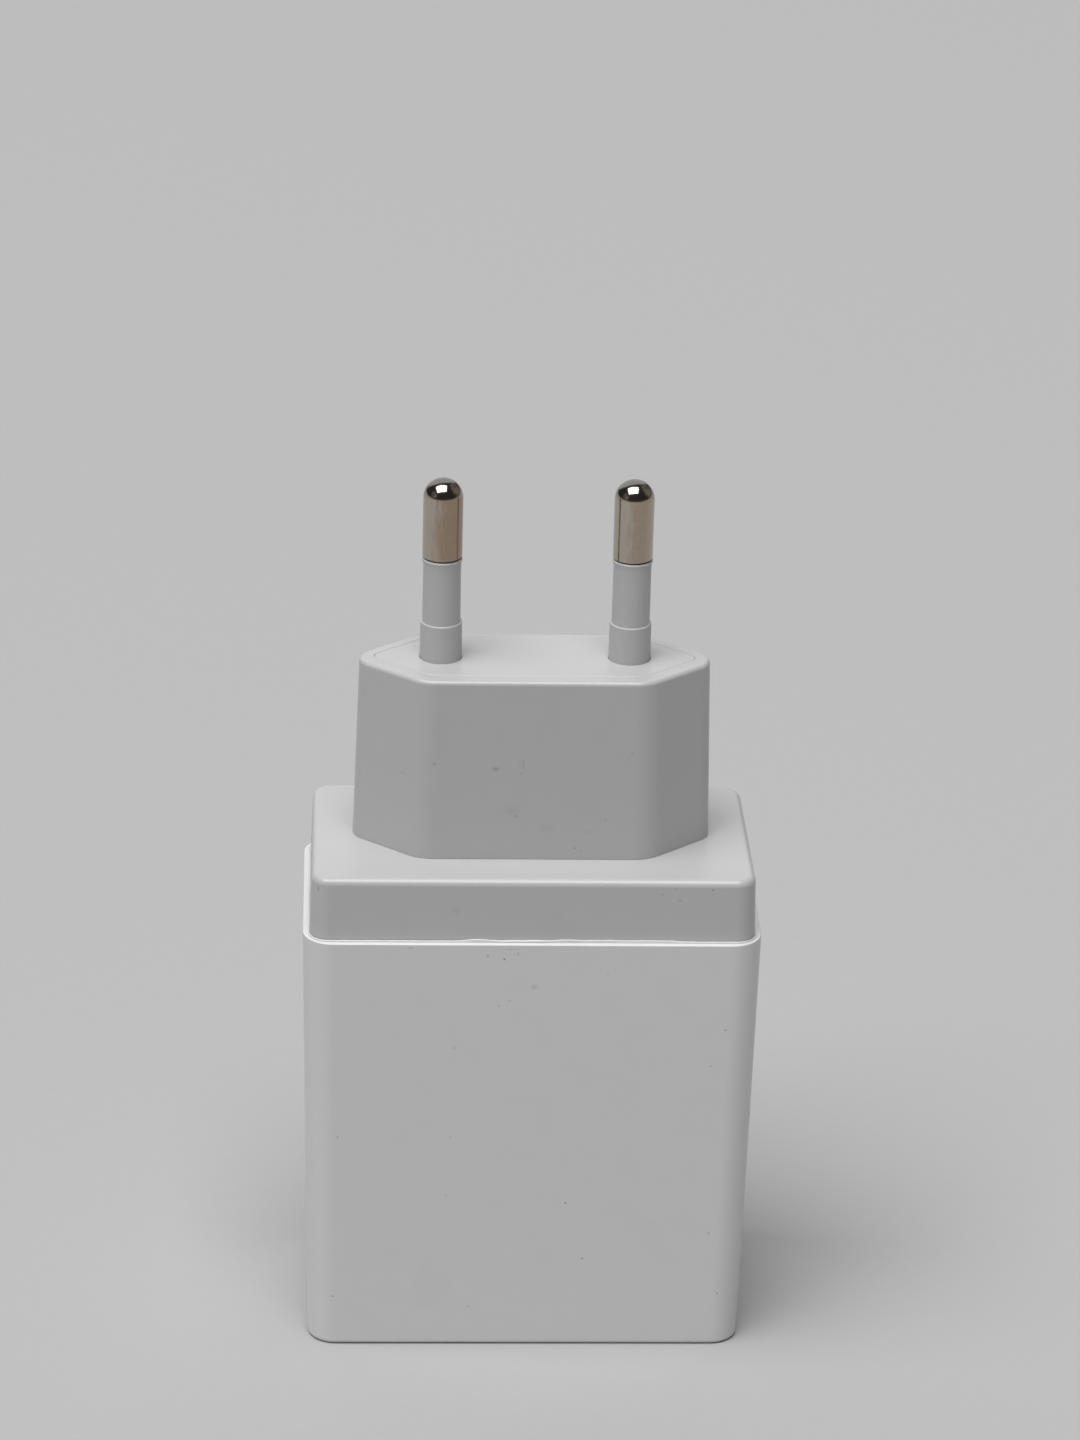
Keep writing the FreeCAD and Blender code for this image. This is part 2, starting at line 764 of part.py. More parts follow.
def make_can(x, z, diameter, height):
    """A drawn aluminium can, closed at the front and open to its bung."""
    back = board_front
    can = rod_deep(x, z, (back - height, back), diameter)
    front_edges = [e for e in can.Edges if abs(e.BoundBox.YMax - (back - height)) < can_wall]
    can = can.makeFillet(can_edge_radius, front_edges)
    return can.cut(rod_deep(x, z, (back - bung_height, back), diameter - 2 * can_wall))


def lead_pair(x, z, pitch):
    """Two lead places side by side about a centre."""
    return [(x - pitch / 2, z), (x + pitch / 2, z)]


def upright_pair(x, z, pitch):
    """Two lead places one above the other about a centre."""
    return [(x, z - pitch / 2), (x, z + pitch / 2)]


def make_bung(x, z, diameter):
    """The rubber bung of a can, with two lead holes."""
    y_range = (board_front - bung_height + bung_clearance, board_front)
    bung = rod_deep(x, z, y_range, diameter - 2 * can_wall - 2 * bung_clearance)
    hole = lead_diameter + 2 * moulded_clearance
    return bung.cut([rod_deep(px, z, y_range, hole) for px, z in lead_pair(x, z, capacitor_lead_pitch)])


choke_x = parts_edge - choke_diameter / 2 - choke_wire
choke_z = board_top - part_gap - choke_diameter / 2 - choke_wire
choke_back = board_front - choke_standoff - choke_wire
choke_front = choke_back - choke_thickness


def make_choke_core():
    """The ferrite ring of the input choke."""
    ring = rod_deep(choke_x, choke_z, (choke_front, choke_back), choke_diameter)
    return ring.cut(rod_deep(choke_x, choke_z, (choke_front, choke_back), choke_hole))


def make_choke_wires():
    """Turns of enamelled wire round the choke's ring, each a closed loop."""
    gap = choke_clearance
    inner = choke_hole / 2 - gap - choke_wire
    outer = choke_diameter / 2 + gap
    loop = box((inner, outer + choke_wire), (choke_front - gap - choke_wire, choke_back + gap + choke_wire),
               (-choke_wire / 2, choke_wire / 2))
    loop = loop.cut(box((inner + choke_wire, outer), (choke_front - gap, choke_back + gap),
                        (-choke_wire / 2, choke_wire / 2)))
    turns = []
    for i in range(choke_turns):
        turn = loop.copy()
        turn.rotate(Vec(0, 0, 0), Vec(0, 1, 0), (i + 0.5) * 360 / choke_turns)
        turn.translate(Vec(choke_x, 0, choke_z))
        turns.append(turn)
    return turns


def make_choke_winding():
    """The choke's turns as one wound piece."""
    turns = make_choke_wires()
    return turns[0].fuse(turns[1:]).removeSplitter()


choke_leads = [(choke_x + side * (choke_diameter / 2 + choke_clearance + choke_wire / 2), choke_z)
               for side in (-1, 1)]

fuse_x = -parts_edge + fuse_length / 2
fuse_z = board_top - part_gap - fuse_diameter / 2
fuse_y = board_front - fuse_standoff - fuse_diameter / 2


def rod_across(x_range, y, z, diameter):
    """A round bar along X."""
    start = Vec(x_range[0], y, z)
    return Part.makeCylinder(diameter / 2, x_range[1] - x_range[0], start, Vec(1, 0, 0))


def make_fuse_body():
    """The ceramic tube of the fuse."""
    half = fuse_length / 2 - fuse_cap_length
    return rod_across((fuse_x - half, fuse_x + half), fuse_y, fuse_z, fuse_diameter - 2 * can_wall)


def make_fuse_caps():
    """The two metal end caps of the fuse, with their leads bent back to the board."""
    caps = []
    for side in (-1, 1):
        end = fuse_x + side * fuse_length / 2
        span = sorted((end - side * fuse_cap_length, end))
        cap = rod_across(span, fuse_y, fuse_z, fuse_diameter)
        lead_x = end - side * lead_diameter
        lead = rod_deep(lead_x, fuse_z, (fuse_y, board_back + lead_poke), lead_diameter)
        board_lead_holes.append((lead_x, fuse_z))
        caps.append(cap.fuse(lead).removeSplitter())
    return group(caps)


film_z = board_top - part_gap - film_box_height / 2


def make_film_box():
    """The moulded box of the film capacitor across the mains."""
    return box((-film_box_length / 2, film_box_length / 2), (board_front - film_box_depth, board_front),
               (film_z - film_box_height / 2, film_z + film_box_height / 2))


middle_left = transformer_x + core_length / 2 + tape_thickness + part_gap
right_column_edge = parts_edge - output_diameter
middle_x = (middle_left + right_column_edge - part_gap) / 2
opto_z = parts_foot + opto_width / 2
disc_z = opto_z + opto_width / 2 + part_gap + disc_diameter / 2


def make_opto():
    """The optocoupler's moulded body."""
    y_range = (board_front - opto_height, board_front)
    return box((middle_x - opto_length / 2, middle_x + opto_length / 2), y_range,
               (opto_z - opto_width / 2, opto_z + opto_width / 2))


disc_lead_edge = (disc_lead_pitch - lead_diameter) / 2
disc_lead_reach = disc_diameter / 2 - math.sqrt((disc_diameter / 2) ** 2 - disc_lead_edge ** 2)


def make_disc():
    """The disc capacitor that bridges the two sides, on edge with its axis along X."""
    half = disc_thickness / 2
    axis_y = board_front - disc_diameter / 2
    return rod_across((middle_x - half, middle_x + half), axis_y, disc_z, disc_diameter)


# ---------------------------------------------------------------- chips, heat spreader and sheet

def solder_side_chip(x, z, length, width, height):
    """A flat package on the back of the main board."""
    return box((x - length / 2, x + length / 2), (board_back, board_back + height),
               (z - width / 2, z + width / 2))


pins_top = transformer_z + (transformer_pin_count - 1) / 2 * transformer_pin_pitch
chip_row = (pins_top + film_z) / 2
bridge_x = -(part_gap + bridge_length) / 2
switch_x = (part_gap + switch_length) / 2
spreader_x = (bridge_x - bridge_length / 2, switch_x + switch_length / 2)
spreader_front = board_back + power_chip_height
rectifier_x, rectifier_low = capacitor_places(1, output_diameter)[-1]
rectifier_z = (rectifier_low + choke_z) / 2
controller_x = (left_column_edge - bulk_diameter / 2 + capacitor_lead_pitch / 2 + bobbin_pins[0][0]) / 2
controller_z = transformer_z


def make_spreader():
    """The aluminium heat spreader that lies on the power packages."""
    return box(spreader_x, (spreader_front, spreader_front + spreader_thickness),
               (chip_row - bridge_width / 2, chip_row + bridge_width / 2))


def make_sheet():
    """The insulating sheet between the board and the back wall."""
    back = cavity_back - sheet_clearance
    half_width = board_width / 2 - rib_reach - sheet_clearance
    return box((-half_width, half_width), (back - sheet_thickness, back), (board_bottom, board_top))


def make_charge_chip(x):
    """The small chip beside one port that sets its charging current."""
    y = -(shell_length / 2 + part_gap + charge_chip_width / 2)
    return block(x, y, port_board_top, charge_chip_length, charge_chip_width, charge_chip_height)


# ---------------------------------------------------------------- assembly

parts = {
    "housing_sleeve": make_sleeve(),
    "plug_cover": make_cover(),
    "pin_carrier_plate": make_plate(),
    "header_pins": make_header_pins(),
    "header_strip": make_header_strip(),
    "transformer_core_left": make_core_half(-1),
    "transformer_core_right": make_core_half(1),
    "transformer_bobbin": make_bobbin(),
    "transformer_winding": make_winding(),
    "transformer_tape": make_tape(),
    "transformer_pins": group(leads(bobbin_pins, bobbin_foot_height)),
    "choke_core": make_choke_core(),
    "choke_winding": make_choke_winding(),
    "choke_leads": group(leads(choke_leads, choke_standoff)),
    "fuse_body": make_fuse_body(),
    "fuse_end_caps": make_fuse_caps(),
    "film_capacitor_box": make_film_box(),
    "film_capacitor_leads": group(leads(lead_pair(0, film_z, film_lead_pitch), 0)),
    "bridging_capacitor": make_disc(),
    "bridging_capacitor_leads": group(leads(upright_pair(middle_x, disc_z, disc_lead_pitch),
                                            disc_lead_reach)),
    "optocoupler": make_opto(),
    "mains_bridge": solder_side_chip(bridge_x, chip_row, bridge_length, bridge_width, power_chip_height),
    "switching_transistor": solder_side_chip(switch_x, chip_row, switch_length, switch_width,
                                             power_chip_height),
    "output_rectifier": solder_side_chip(rectifier_x, rectifier_z, rectifier_length, rectifier_width,
                                         power_chip_height),
    "controller_chip": solder_side_chip(controller_x, controller_z, controller_width, controller_length,
                                        controller_height),
    "heat_spreader": make_spreader(),
    "insulating_sheet": make_sheet(),
}

for side, x in pin_places.items():
    parts[f"mains_pin_{side}"] = make_pin(x)
    parts[f"pin_sleeve_{side}"] = make_pin_sleeve(x)
    parts[f"input_tab_{side}"] = make_input_tab(x)

for number, x in enumerate(port_places, 1):
    parts[f"usb_shell_{number}"] = make_shell(x)
    parts[f"usb_insulator_{number}"] = make_insulator(x)
    parts[f"usb_contacts_{number}"] = make_contacts(x)
    parts[f"charge_chip_{number}"] = make_charge_chip(x)

for kind, side, diameter, height in (("bulk", -1, bulk_diameter, bulk_height),
                                     ("output", 1, output_diameter, output_height)):
    for number, (x, z) in enumerate(capacitor_places(side, diameter), 1):
        name = f"{kind}_capacitor_{number}"
        parts[f"{name}_can"] = make_can(x, z, diameter, height)
        parts[f"{name}_bung"] = make_bung(x, z, diameter)
        lead_reach = bung_height - bung_clearance
        parts[f"{name}_leads"] = group(leads(lead_pair(x, z, capacitor_lead_pitch), lead_reach))

parts["main_board"] = make_main_board()
parts["port_board"] = make_port_board()

os.makedirs("parts", exist_ok=True)
for name, shape in parts.items():
    shape.exportStep(f"parts/{name}.step")
    print(f"{name:28s} solids {len(shape.Solids)}  volume {shape.Volume:9.2f} mm3  valid {shape.isValid()}")
print("nodes", len(parts))
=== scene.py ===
# %% [markdown]
# # A USB wall charger, dressed round its CAD frame
# The charger is a block of satin white plastic that stands on its port face. A two-pin mains
# plug rises from a stepped cover, and the cover is welded into the rim of a slightly tapered
# sleeve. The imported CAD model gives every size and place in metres. This lesson rebuilds the
# visible mouldings with clean rounded edges, turns the pins, softens the sheet metal of the
# ports, and gives each piece a finish made of nodes.

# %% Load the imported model
import json
import math
import random

import bmesh
import bpy
from mathutils import Matrix, Vector


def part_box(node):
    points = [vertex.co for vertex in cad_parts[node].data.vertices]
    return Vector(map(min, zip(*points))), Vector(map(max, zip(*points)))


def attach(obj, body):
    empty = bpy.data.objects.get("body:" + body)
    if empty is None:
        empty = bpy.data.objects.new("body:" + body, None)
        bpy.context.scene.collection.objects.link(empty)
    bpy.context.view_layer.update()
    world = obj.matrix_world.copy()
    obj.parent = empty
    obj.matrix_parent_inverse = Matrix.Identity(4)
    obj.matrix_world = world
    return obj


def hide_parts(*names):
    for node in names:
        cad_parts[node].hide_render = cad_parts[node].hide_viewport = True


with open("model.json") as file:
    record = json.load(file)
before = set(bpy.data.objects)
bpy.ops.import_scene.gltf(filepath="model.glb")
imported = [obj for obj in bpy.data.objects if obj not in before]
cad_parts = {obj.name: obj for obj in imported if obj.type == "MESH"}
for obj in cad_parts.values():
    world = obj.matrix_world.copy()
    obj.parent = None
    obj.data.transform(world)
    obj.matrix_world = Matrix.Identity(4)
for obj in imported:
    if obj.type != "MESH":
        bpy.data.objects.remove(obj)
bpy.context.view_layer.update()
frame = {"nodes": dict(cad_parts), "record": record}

mm = 0.001
print("nodes in the frame:", len(frame["nodes"]))

# %% [markdown]
# ## The picture first
# A product on a table is seen a little from above through a long lens, which keeps the
# upright edges nearly parallel. The camera is placed by where it stands, how far it looks
# down, how far it is turned and how much it is tilted. A long lens far away flattens the
# depth, so a short one close by would make the block look wedge-shaped.

# %% Camera
camera_place = Vector((-20.2, -426.6, 251.3)) * mm
camera_turn = math.radians(2.80)
camera_look_down = math.radians(23.46)
camera_tilt = math.radians(-1.50)
camera_lens = 115.0
camera_near_limit = 10 * mm


def into_scene(name, data):
    """A new object with this data, linked to the scene."""
    made = bpy.data.objects.new(name, data)
    bpy.context.scene.collection.objects.link(made)
    return made


def make_camera():
    """A camera at its place, aimed by turn, look-down and tilt."""
    data = bpy.data.cameras.new("camera")
    data.lens = camera_lens
    data.clip_start = camera_near_limit
    camera = into_scene("camera", data)
    aim = Matrix.Rotation(-camera_turn, 4, "Z")
    aim @= Matrix.Rotation(math.pi / 2 - camera_look_down, 4, "X")
    aim @= Matrix.Rotation(-camera_tilt, 4, "Z")
    camera.matrix_world = Matrix.Translation(camera_place) @ aim
    bpy.context.scene.camera = camera


make_camera()
print("camera stands", round(camera_place.length, 3), "m from the charger")

# %% [markdown]
# ## Small helpers for node trees
# Geometry Nodes and materials are both trees of nodes, so one set of helpers serves both. A
# socket that is given another socket gets a link, and anything else becomes the socket's own
# number, colour or text. The commonest sums have short names, so that a tree can be read.

# %% Node helpers
def fill_socket(tree, socket, value):
    """Links a socket to another socket, or gives it a number, colour or text of its own."""
    if isinstance(value, bpy.types.NodeSocket):
        tree.links.new(value, socket)
    else:
        socket.default_value = value


def connect(tree, node, **values):
    """Fills a node's sockets by name. A name's underscores stand for spaces."""
    for name, value in values.items():
        fill_socket(tree, node.inputs[name.replace("_", " ")], value)
    return node


def add_node(tree, kind, sockets=None, **settings):
    """Adds a node, sets its properties, and fills its sockets by name or number."""
    made = tree.nodes.new(kind)
    for name, value in settings.items():
        setattr(made, name, value)
    for key, value in (sockets or {}).items():
        fill_socket(tree, made.inputs[key], value)
    return made


def result_of(tree, kind, sockets=None, **settings):
    """Adds a node and gives its first output."""
    return add_node(tree, kind, sockets, **settings).outputs[0]


def new_tree(name, kind, inputs, outputs):
    """An empty node group with named inputs and outputs. Returns it and its input sockets."""
    tree = bpy.data.node_groups.new(name, kind)
    for way, labels in (("INPUT", inputs), ("OUTPUT", outputs)):
        for label, socket_kind in labels.items():
            tree.interface.new_socket(label, in_out=way, socket_type="NodeSocket" + socket_kind)
    return tree, tree.nodes.new("NodeGroupInput").outputs


def give_out(tree, **results):
    """Links a group's results to its outputs."""
    connect(tree, tree.nodes.new("NodeGroupOutput"), **results)


print("node helpers ready")

# %% Sums in a tree
def maths(tree, operation, first, second=0.0):
    """One Math node's result."""
    return result_of(tree, "ShaderNodeMath", {0: first, 1: second}, operation=operation)


def plus(tree, first, second):
    """Two values added."""
    return maths(tree, "ADD", first, second)


def times(tree, first, second):
    """Two values multiplied."""
    return maths(tree, "MULTIPLY", first, second)


def larger(tree, first, second):
    """The larger of two values."""
    return maths(tree, "MAXIMUM", first, second)


def raised(tree, base, share, amount):
    """A base value, raised by a share of an amount."""
    return plus(tree, base, times(tree, share, amount))


def swing(tree, noise_value, amount):
    """Noise from 0 to 1 turned into a swing to both sides of zero."""
    return times(tree, maths(tree, "SUBTRACT", noise_value, 0.5), amount)


def vector_maths(tree, operation, *values):
    """One Vector Math node's outputs, Vector and Value."""
    sockets = dict(enumerate(values))
    return add_node(tree, "ShaderNodeVectorMath", sockets, operation=operation).outputs


def vector_of(tree, x=0.0, y=0.0, z=0.0):
    """A vector put together from three numbers or sockets."""
    return result_of(tree, "ShaderNodeCombineXYZ", {0: x, 1: y, 2: z})


def parts_of(tree, vector):
    """The x, y and z of a vector socket."""
    return add_node(tree, "ShaderNodeSeparateXYZ", {0: vector}).outputs


print("sums ready")

# %% [markdown]
# ## Mesh helpers
# A modifier can be left live or turned into plain mesh. Here most shapes are settled at once:
# the evaluated object gives a new mesh, and the modifiers go. Every finished piece then sits
# at the origin with its place in its mesh, as the CAD nodes do.

# %% Mesh helpers
def new_piece(name, points, edges=(), faces=()):
    """An object with a mesh of the given points, edges and faces."""
    mesh = bpy.data.meshes.new(name)
    mesh.from_pydata([tuple(p) for p in points], list(edges), list(faces))
    return into_scene(name, mesh)


def rectangle(half_width, half_depth, z=0.0):
    """The corners of a rectangle about the axis, from the front left one round to the back left."""
    signs = ((-1, -1), (1, -1), (1, 1), (-1, 1))
    return [Vector((x * half_width, y * half_depth, z)) for x, y in signs]


def ring_of(count):
    """The edges of a closed ring through a number of points."""
    return [(i, (i + 1) % count) for i in range(count)]


def carry(piece, name, values):
    """Writes one number into each point of a piece, under a name that a tree can read."""
    attribute = piece.data.attributes.new(name, "FLOAT", "POINT")
    attribute.data.foreach_set("value", values)


def add_tree(piece, tree, **values):
    """Puts a Geometry Nodes tree on a piece, and fills the tree's inputs by their names."""
    modifier = piece.modifiers.new(tree.name, "NODES")
    modifier.node_group = tree
    for item in tree.interface.items_tree:
        label = item.name.replace(" ", "_")
        if label in values:
            modifier[item.identifier] = values[label]
    return piece


def settle(piece):
    """Turns a piece's modifiers into plain mesh."""
    seen = piece.evaluated_get(bpy.context.evaluated_depsgraph_get())
    mesh = bpy.data.meshes.new_from_object(seen)
    mesh.name = piece.name
    piece.modifiers.clear()
    piece.data = mesh
    return piece


def combine(piece, operation, others):
    """Joins a piece with others or cuts them out of it. The others are used up."""
    for other in others:
        modifier = piece.modifiers.new(operation.lower(), "BOOLEAN")
        modifier.operation = operation
        modifier.solver = "EXACT"
        modifier.object = other
    settle(piece)
    for other in others:
        bpy.data.objects.remove(other)
    return piece


print("mesh helpers ready")

# %% [markdown]
# ## How the sleeve tapers
# The overall sizes are read from the CAD frame, so the pieces below follow it when it
# changes. The sleeve widens evenly from foot to rim, because a moulding needs draft to leave
# its tool. Two measured levels give its width at any height.

# %% Sleeve sizes
sleeve_low, sleeve_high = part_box("housing_sleeve")
sleeve_height = sleeve_high.z
foot_edge = 0.5 * mm
rim_edge = 0.12 * mm
level_slack = 0.1 * mm


def reach(node, low, high):
    """Half the width and half the depth of a CAD node between two heights."""
    points = [v.co for v in frame["nodes"][node].data.vertices if low <= v.co.z <= high]
    return max(abs(p.x) for p in points), max(abs(p.y) for p in points)


foot_level = foot_edge
rim_level = sleeve_height - rim_edge
foot_reach = reach("housing_sleeve", 0, foot_level + level_slack)
rim_reach = reach("housing_sleeve", rim_level - level_slack, sleeve_height)


def sleeve_size(z, inset=0.0):
    """The sleeve's width and depth at a height, less an inset on every side."""
    share = (z - foot_level) / (rim_level - foot_level)
    sides = [low + (high - low) * share for low, high in zip(foot_reach, rim_reach)]
    return 2 * (sides[0] - inset), 2 * (sides[1] - inset)


print("foot in mm:", [round(side / mm, 2) for side in sleeve_size(0)])
print("rim in mm:", [round(side / mm, 2) for side in sleeve_size(sleeve_height)])

# %% [markdown]
# ## A drafted block, grown from its corners
# Every moulding here starts as the same thing: an outline with rounded corners, pulled up to
# a height, a little wider or narrower at the top, with its level edges rounded. Geometry
# Nodes suit such a rule. The tree takes only the corner points, each with its own rounding,
# so a rectangle and the plug's long hexagon use one tree. It writes how round each level edge
# is to be into the edges, and a Bevel modifier reads that. Modelling each block by hand would
# hide the sizes in the mesh. The tree can also set a material. It gets none here, because a
# moulding is given its finish once it is whole.

# %% Parts that shape trees share
def new_shape_tree(name, sizes, counts):
    """An empty Geometry Nodes tree: a shape, sizes, counts and a material in, a shape out."""
    inputs = {"Geometry": "Geometry", "Material": "Material"}
    inputs.update({label: "Float" for label in sizes})
    inputs.update({label: "Int" for label in counts})
    return new_tree(name, "GeometryNodeTree", inputs, {"Geometry": "Geometry"})


def finish_shape(tree, geometry, material):
    """Ends a shape tree: copies become real mesh and take the material, if one is given."""
    real = result_of(tree, "GeometryNodeRealizeInstances", {"Geometry": geometry})
    dressed = add_node(tree, "GeometryNodeSetMaterial", {"Geometry": real, "Material": material})
    give_out(tree, Geometry=dressed.outputs[0])
    return tree


def carried(tree, name):
    """The number that each point carries under a name."""
    return result_of(tree, "GeometryNodeInputNamedAttribute", {"Name": name}, data_type="FLOAT")


def rounded_ring(tree, ring, steps):
    """A ring of edges as a curve, each corner rounded by the radius that its point carries."""
    curve = result_of(tree, "GeometryNodeMeshToCurve", {"Mesh": ring})
    sockets = {"Curve": curve, "Count": steps, "Radius": carried(tree, "rounding")}
    return result_of(tree, "GeometryNodeFilletCurve", sockets, mode="POLY")


def joined(tree, shapes):
    """Several shapes as one."""
    join = add_node(tree, "GeometryNodeJoinGeometry")
    for shape in shapes:
        tree.links.new(shape, join.inputs[0])
    return join.outputs[0]


print("shared parts ready")

# %% The block tree
arc_steps = 14
level_share = 0.001
doubles_distance = 1e-7


def make_block_tree():
    """Corner ring in, closed block with weighted level edges out."""
    sizes = ("Base", "Height", "Upper width", "Upper depth", "Lower edge", "Upper edge")
    tree, given = new_shape_tree("drafted block", sizes, ["Arc steps"])
    outline = rounded_ring(tree, given["Geometry"], given["Arc steps"])
    flat = result_of(tree, "GeometryNodeFillCurve", {"Curve": outline}, mode="NGONS")
    rise = vector_of(tree, z=given["Height"])
    pulled = add_node(tree, "GeometryNodeExtrudeMesh",
                      {"Mesh": flat, "Offset": rise, "Individual": False}, mode="FACES").outputs
    x, y, z = parts_of(tree, result_of(tree, "GeometryNodeInputPosition"))
    upper = vector_of(tree, times(tree, x, given["Upper width"]), times(tree, y, given["Upper depth"]), z)
    sockets = {"Geometry": pulled["Mesh"], "Selection": pulled["Top"], "Position": upper}
    drafted = result_of(tree, "GeometryNodeSetPosition", sockets)
    underside = result_of(tree, "GeometryNodeFlipFaces", {"Mesh": flat})
    sockets = {"Geometry": joined(tree, [drafted, underside]), "Distance": doubles_distance}
    closed = result_of(tree, "GeometryNodeMergeByDistance", sockets)
    at_top = maths(tree, "GREATER_THAN", z, times(tree, given["Height"], 1 - level_share))
    at_foot = maths(tree, "LESS_THAN", z, times(tree, given["Height"], level_share))
    weight = plus(tree, times(tree, at_top, given["Upper edge"]), times(tree, at_foot, given["Lower edge"]))
    sockets = {"Geometry": closed, "Name": "bevel_weight_edge", "Value": weight}
    weighted = result_of(tree, "GeometryNodeStoreNamedAttribute", sockets,
                         data_type="FLOAT", domain="EDGE")
    sockets = {"Geometry": weighted, "Offset": vector_of(tree, z=given["Base"])}
    lifted = result_of(tree, "GeometryNodeSetPosition", sockets)
    return finish_shape(tree, lifted, given["Material"])


block_tree = make_block_tree()
print("block tree has", len(block_tree.nodes), "nodes")

# %% [markdown]
# The corner lists are worked out from sizes. A hexagon's tips are rounded more than its
# length shows, so the sharp corner before rounding lies further out than the rounded tip.

# %% Corners
sleeve_corner = 3.0 * mm
least_corner = 0.3 * mm
plug_slant = math.radians(40)
plug_tip = 2.5 * mm
plug_shoulder = 4.0 * mm


def rectangle_corners(size, rounding):
    """The corners of a rectangle about the axis, as (x, y, rounding)."""
    x = size[0] / 2
    y = size[1] / 2
    return [(x, y, rounding), (-x, y, rounding), (-x, -y, rounding), (x, -y, rounding)]


def plug_corners(size, inset=0.0):
    """The corners of the plug's long hexagon, moved inwards by inset."""
    slope = math.sin(plug_slant)
    tip = size[0] / 2 + plug_tip * (1 / slope - 1) - inset / slope
    side = size[1] / 2 - inset
    shoulder = tip - side / math.tan(plug_slant)
    tip_round = max(plug_tip - inset, least_corner)
    shoulder_round = max(plug_shoulder - inset, least_corner)
    half = [(tip, 0, tip_round), (shoulder, side, shoulder_round), (-shoulder, side, shoulder_round)]
    return half + [(-x, -y, rounding) for x, y, rounding in half]


print("plug slants by", round(math.degrees(plug_slant)), "degrees")

# %% Blocks
edge_segments = 6
least_edge = 1e-6


def block(name, corners, base, top, upper=(1, 1), lower_edge=0.0, upper_edge=0.0, middle=(0, 0)):
    """A closed block on rounded corners, with its level edges rounded."""
    piece = new_piece(name, [(x, y, 0) for x, y, _ in corners], ring_of(len(corners)))
    carry(piece, "rounding", [rounding for _, _, rounding in corners])
    widest = max(lower_edge, upper_edge, least_edge)
    add_tree(piece, block_tree, Base=base, Height=top - base, Upper_width=upper[0], Upper_depth=upper[1],
             Lower_edge=lower_edge / widest, Upper_edge=upper_edge / widest, Arc_steps=arc_steps)
    if lower_edge or upper_edge:
        bevel = piece.modifiers.new("level edges", "BEVEL")
        bevel.limit_method = "WEIGHT"
        bevel.width = widest
        bevel.segments = edge_segments
        bevel.use_clamp_overlap = False
    settle(piece)
    piece.data.transform(Matrix.Translation((*middle, 0)))
    return piece


def shares(lower, upper):
    """How much wider and deeper one size is than another."""
    return upper[0] / lower[0], upper[1] / lower[1]


def sleeve_block(name, low, high, inset, **edges):
    """A block that follows the sleeve's draft between two heights."""
    lower = sleeve_size(low, inset)
    corner = max(sleeve_corner - inset, least_corner)
    return block(name, rectangle_corners(lower, corner), low, high,
                 shares(lower, sleeve_size(high, inset)), **edges)


print("arcs have", arc_steps, "steps and level edges", edge_segments)

# %% [markdown]
# Port windows, posts, ribs and the bores for the pins repeat in rows or squares. A second
# small tree sets copies of one shape on a grid of points and makes them real mesh. An Array
# modifier would be needed for each direction, and the grid does both at once.

# %% The copies tree
def make_copies_tree():
    """One shape in, the same shape on every point of a grid out."""
    tree, given = new_shape_tree("copies on a grid", ("Width", "Depth"), ("Across", "Deep"))
    sockets = {"Size X": given["Width"], "Size Y": given["Depth"],
               "Vertices X": given["Across"], "Vertices Y": given["Deep"]}
    grid = result_of(tree, "GeometryNodeMeshGrid", sockets)
    sockets = {"Points": grid, "Instance": given["Geometry"]}
    placed = result_of(tree, "GeometryNodeInstanceOnPoints", sockets)
    return finish_shape(tree, placed, given["Material"])


copies_tree = make_copies_tree()


def copies(piece, across, deep, width, depth):
    """Copies of a piece on a grid of the given size."""
    return settle(add_tree(piece, copies_tree, Across=across, Deep=deep, Width=width, Depth=depth))


print("copies tree has", len(copies_tree.nodes), "nodes")

# %% [markdown]
# ## Shared effects for the finishes
# A plain colour looks like a computer model, because real surfaces vary at several scales.
# Each effect that more than one finish needs is a node group, built once, and each material
# sets its own strength. Positions come in metres from the piece's own coordinates, so a scale
# of one over the feature's size keeps the pattern at its real size. Images could be painted
# for each finish, but they need unwrapping and go soft when seen close, so nodes make them all.

# %% Noise at a real size
def noise(tree, place, size, detail=2.0, stretch=(1, 1, 1)):
    """Noise whose blotches are about as large as size, stretched along the axes."""
    scale = tuple(1 / (size * s) for s in stretch)
    spread = result_of(tree, "ShaderNodeMapping", {"Vector": place, "Scale": scale})
    return result_of(tree, "ShaderNodeTexNoise", {"Vector": spread, "Scale": 1.0, "Detail": detail})


def in_steps(tree, place, size):
    """A place counted in steps of a size, which may be a socket."""
    sockets = {0: place, "Scale": maths(tree, "DIVIDE", 1.0, size)}
    return result_of(tree, "ShaderNodeVectorMath", sockets, operation="SCALE")


def fade(tree, value, start, end, low=0.0, high=1.0):
    """Turns a value between start and end into one between low and high, and stops there."""
    sockets = {"Value": value, "From Min": start, "From Max": end, "To Min": low, "To Max": high}
    return result_of(tree, "ShaderNodeMapRange", sockets, interpolation_type="SMOOTHSTEP")


print("patterns are given in metres")

# %% Group: moulded grain
def make_grain_group():
    """Height and unevenness of a moulded or cast surface."""
    inputs = {"Place": "Vector", "Fine size": "Float", "Wave size": "Float"}
    outputs = {"Height": "Float", "Blotches": "Float"}
    tree, given = new_tree("moulded grain", "ShaderNodeTree", inputs, outputs)
    layers = []
    for size, detail in (("Fine size", 3.0), ("Wave size", 2.0)):
        sockets = {"Vector": in_steps(tree, given["Place"], given[size]), "Scale": 1.0, "Detail": detail}
        layers.append(result_of(tree, "ShaderNodeTexNoise", sockets))
    fine, wave = layers
    give_out(tree, Height=raised(tree, wave, fine, 0.4), Blotches=wave)
    return tree


grain_group = make_grain_group()
print("made", grain_group.name)

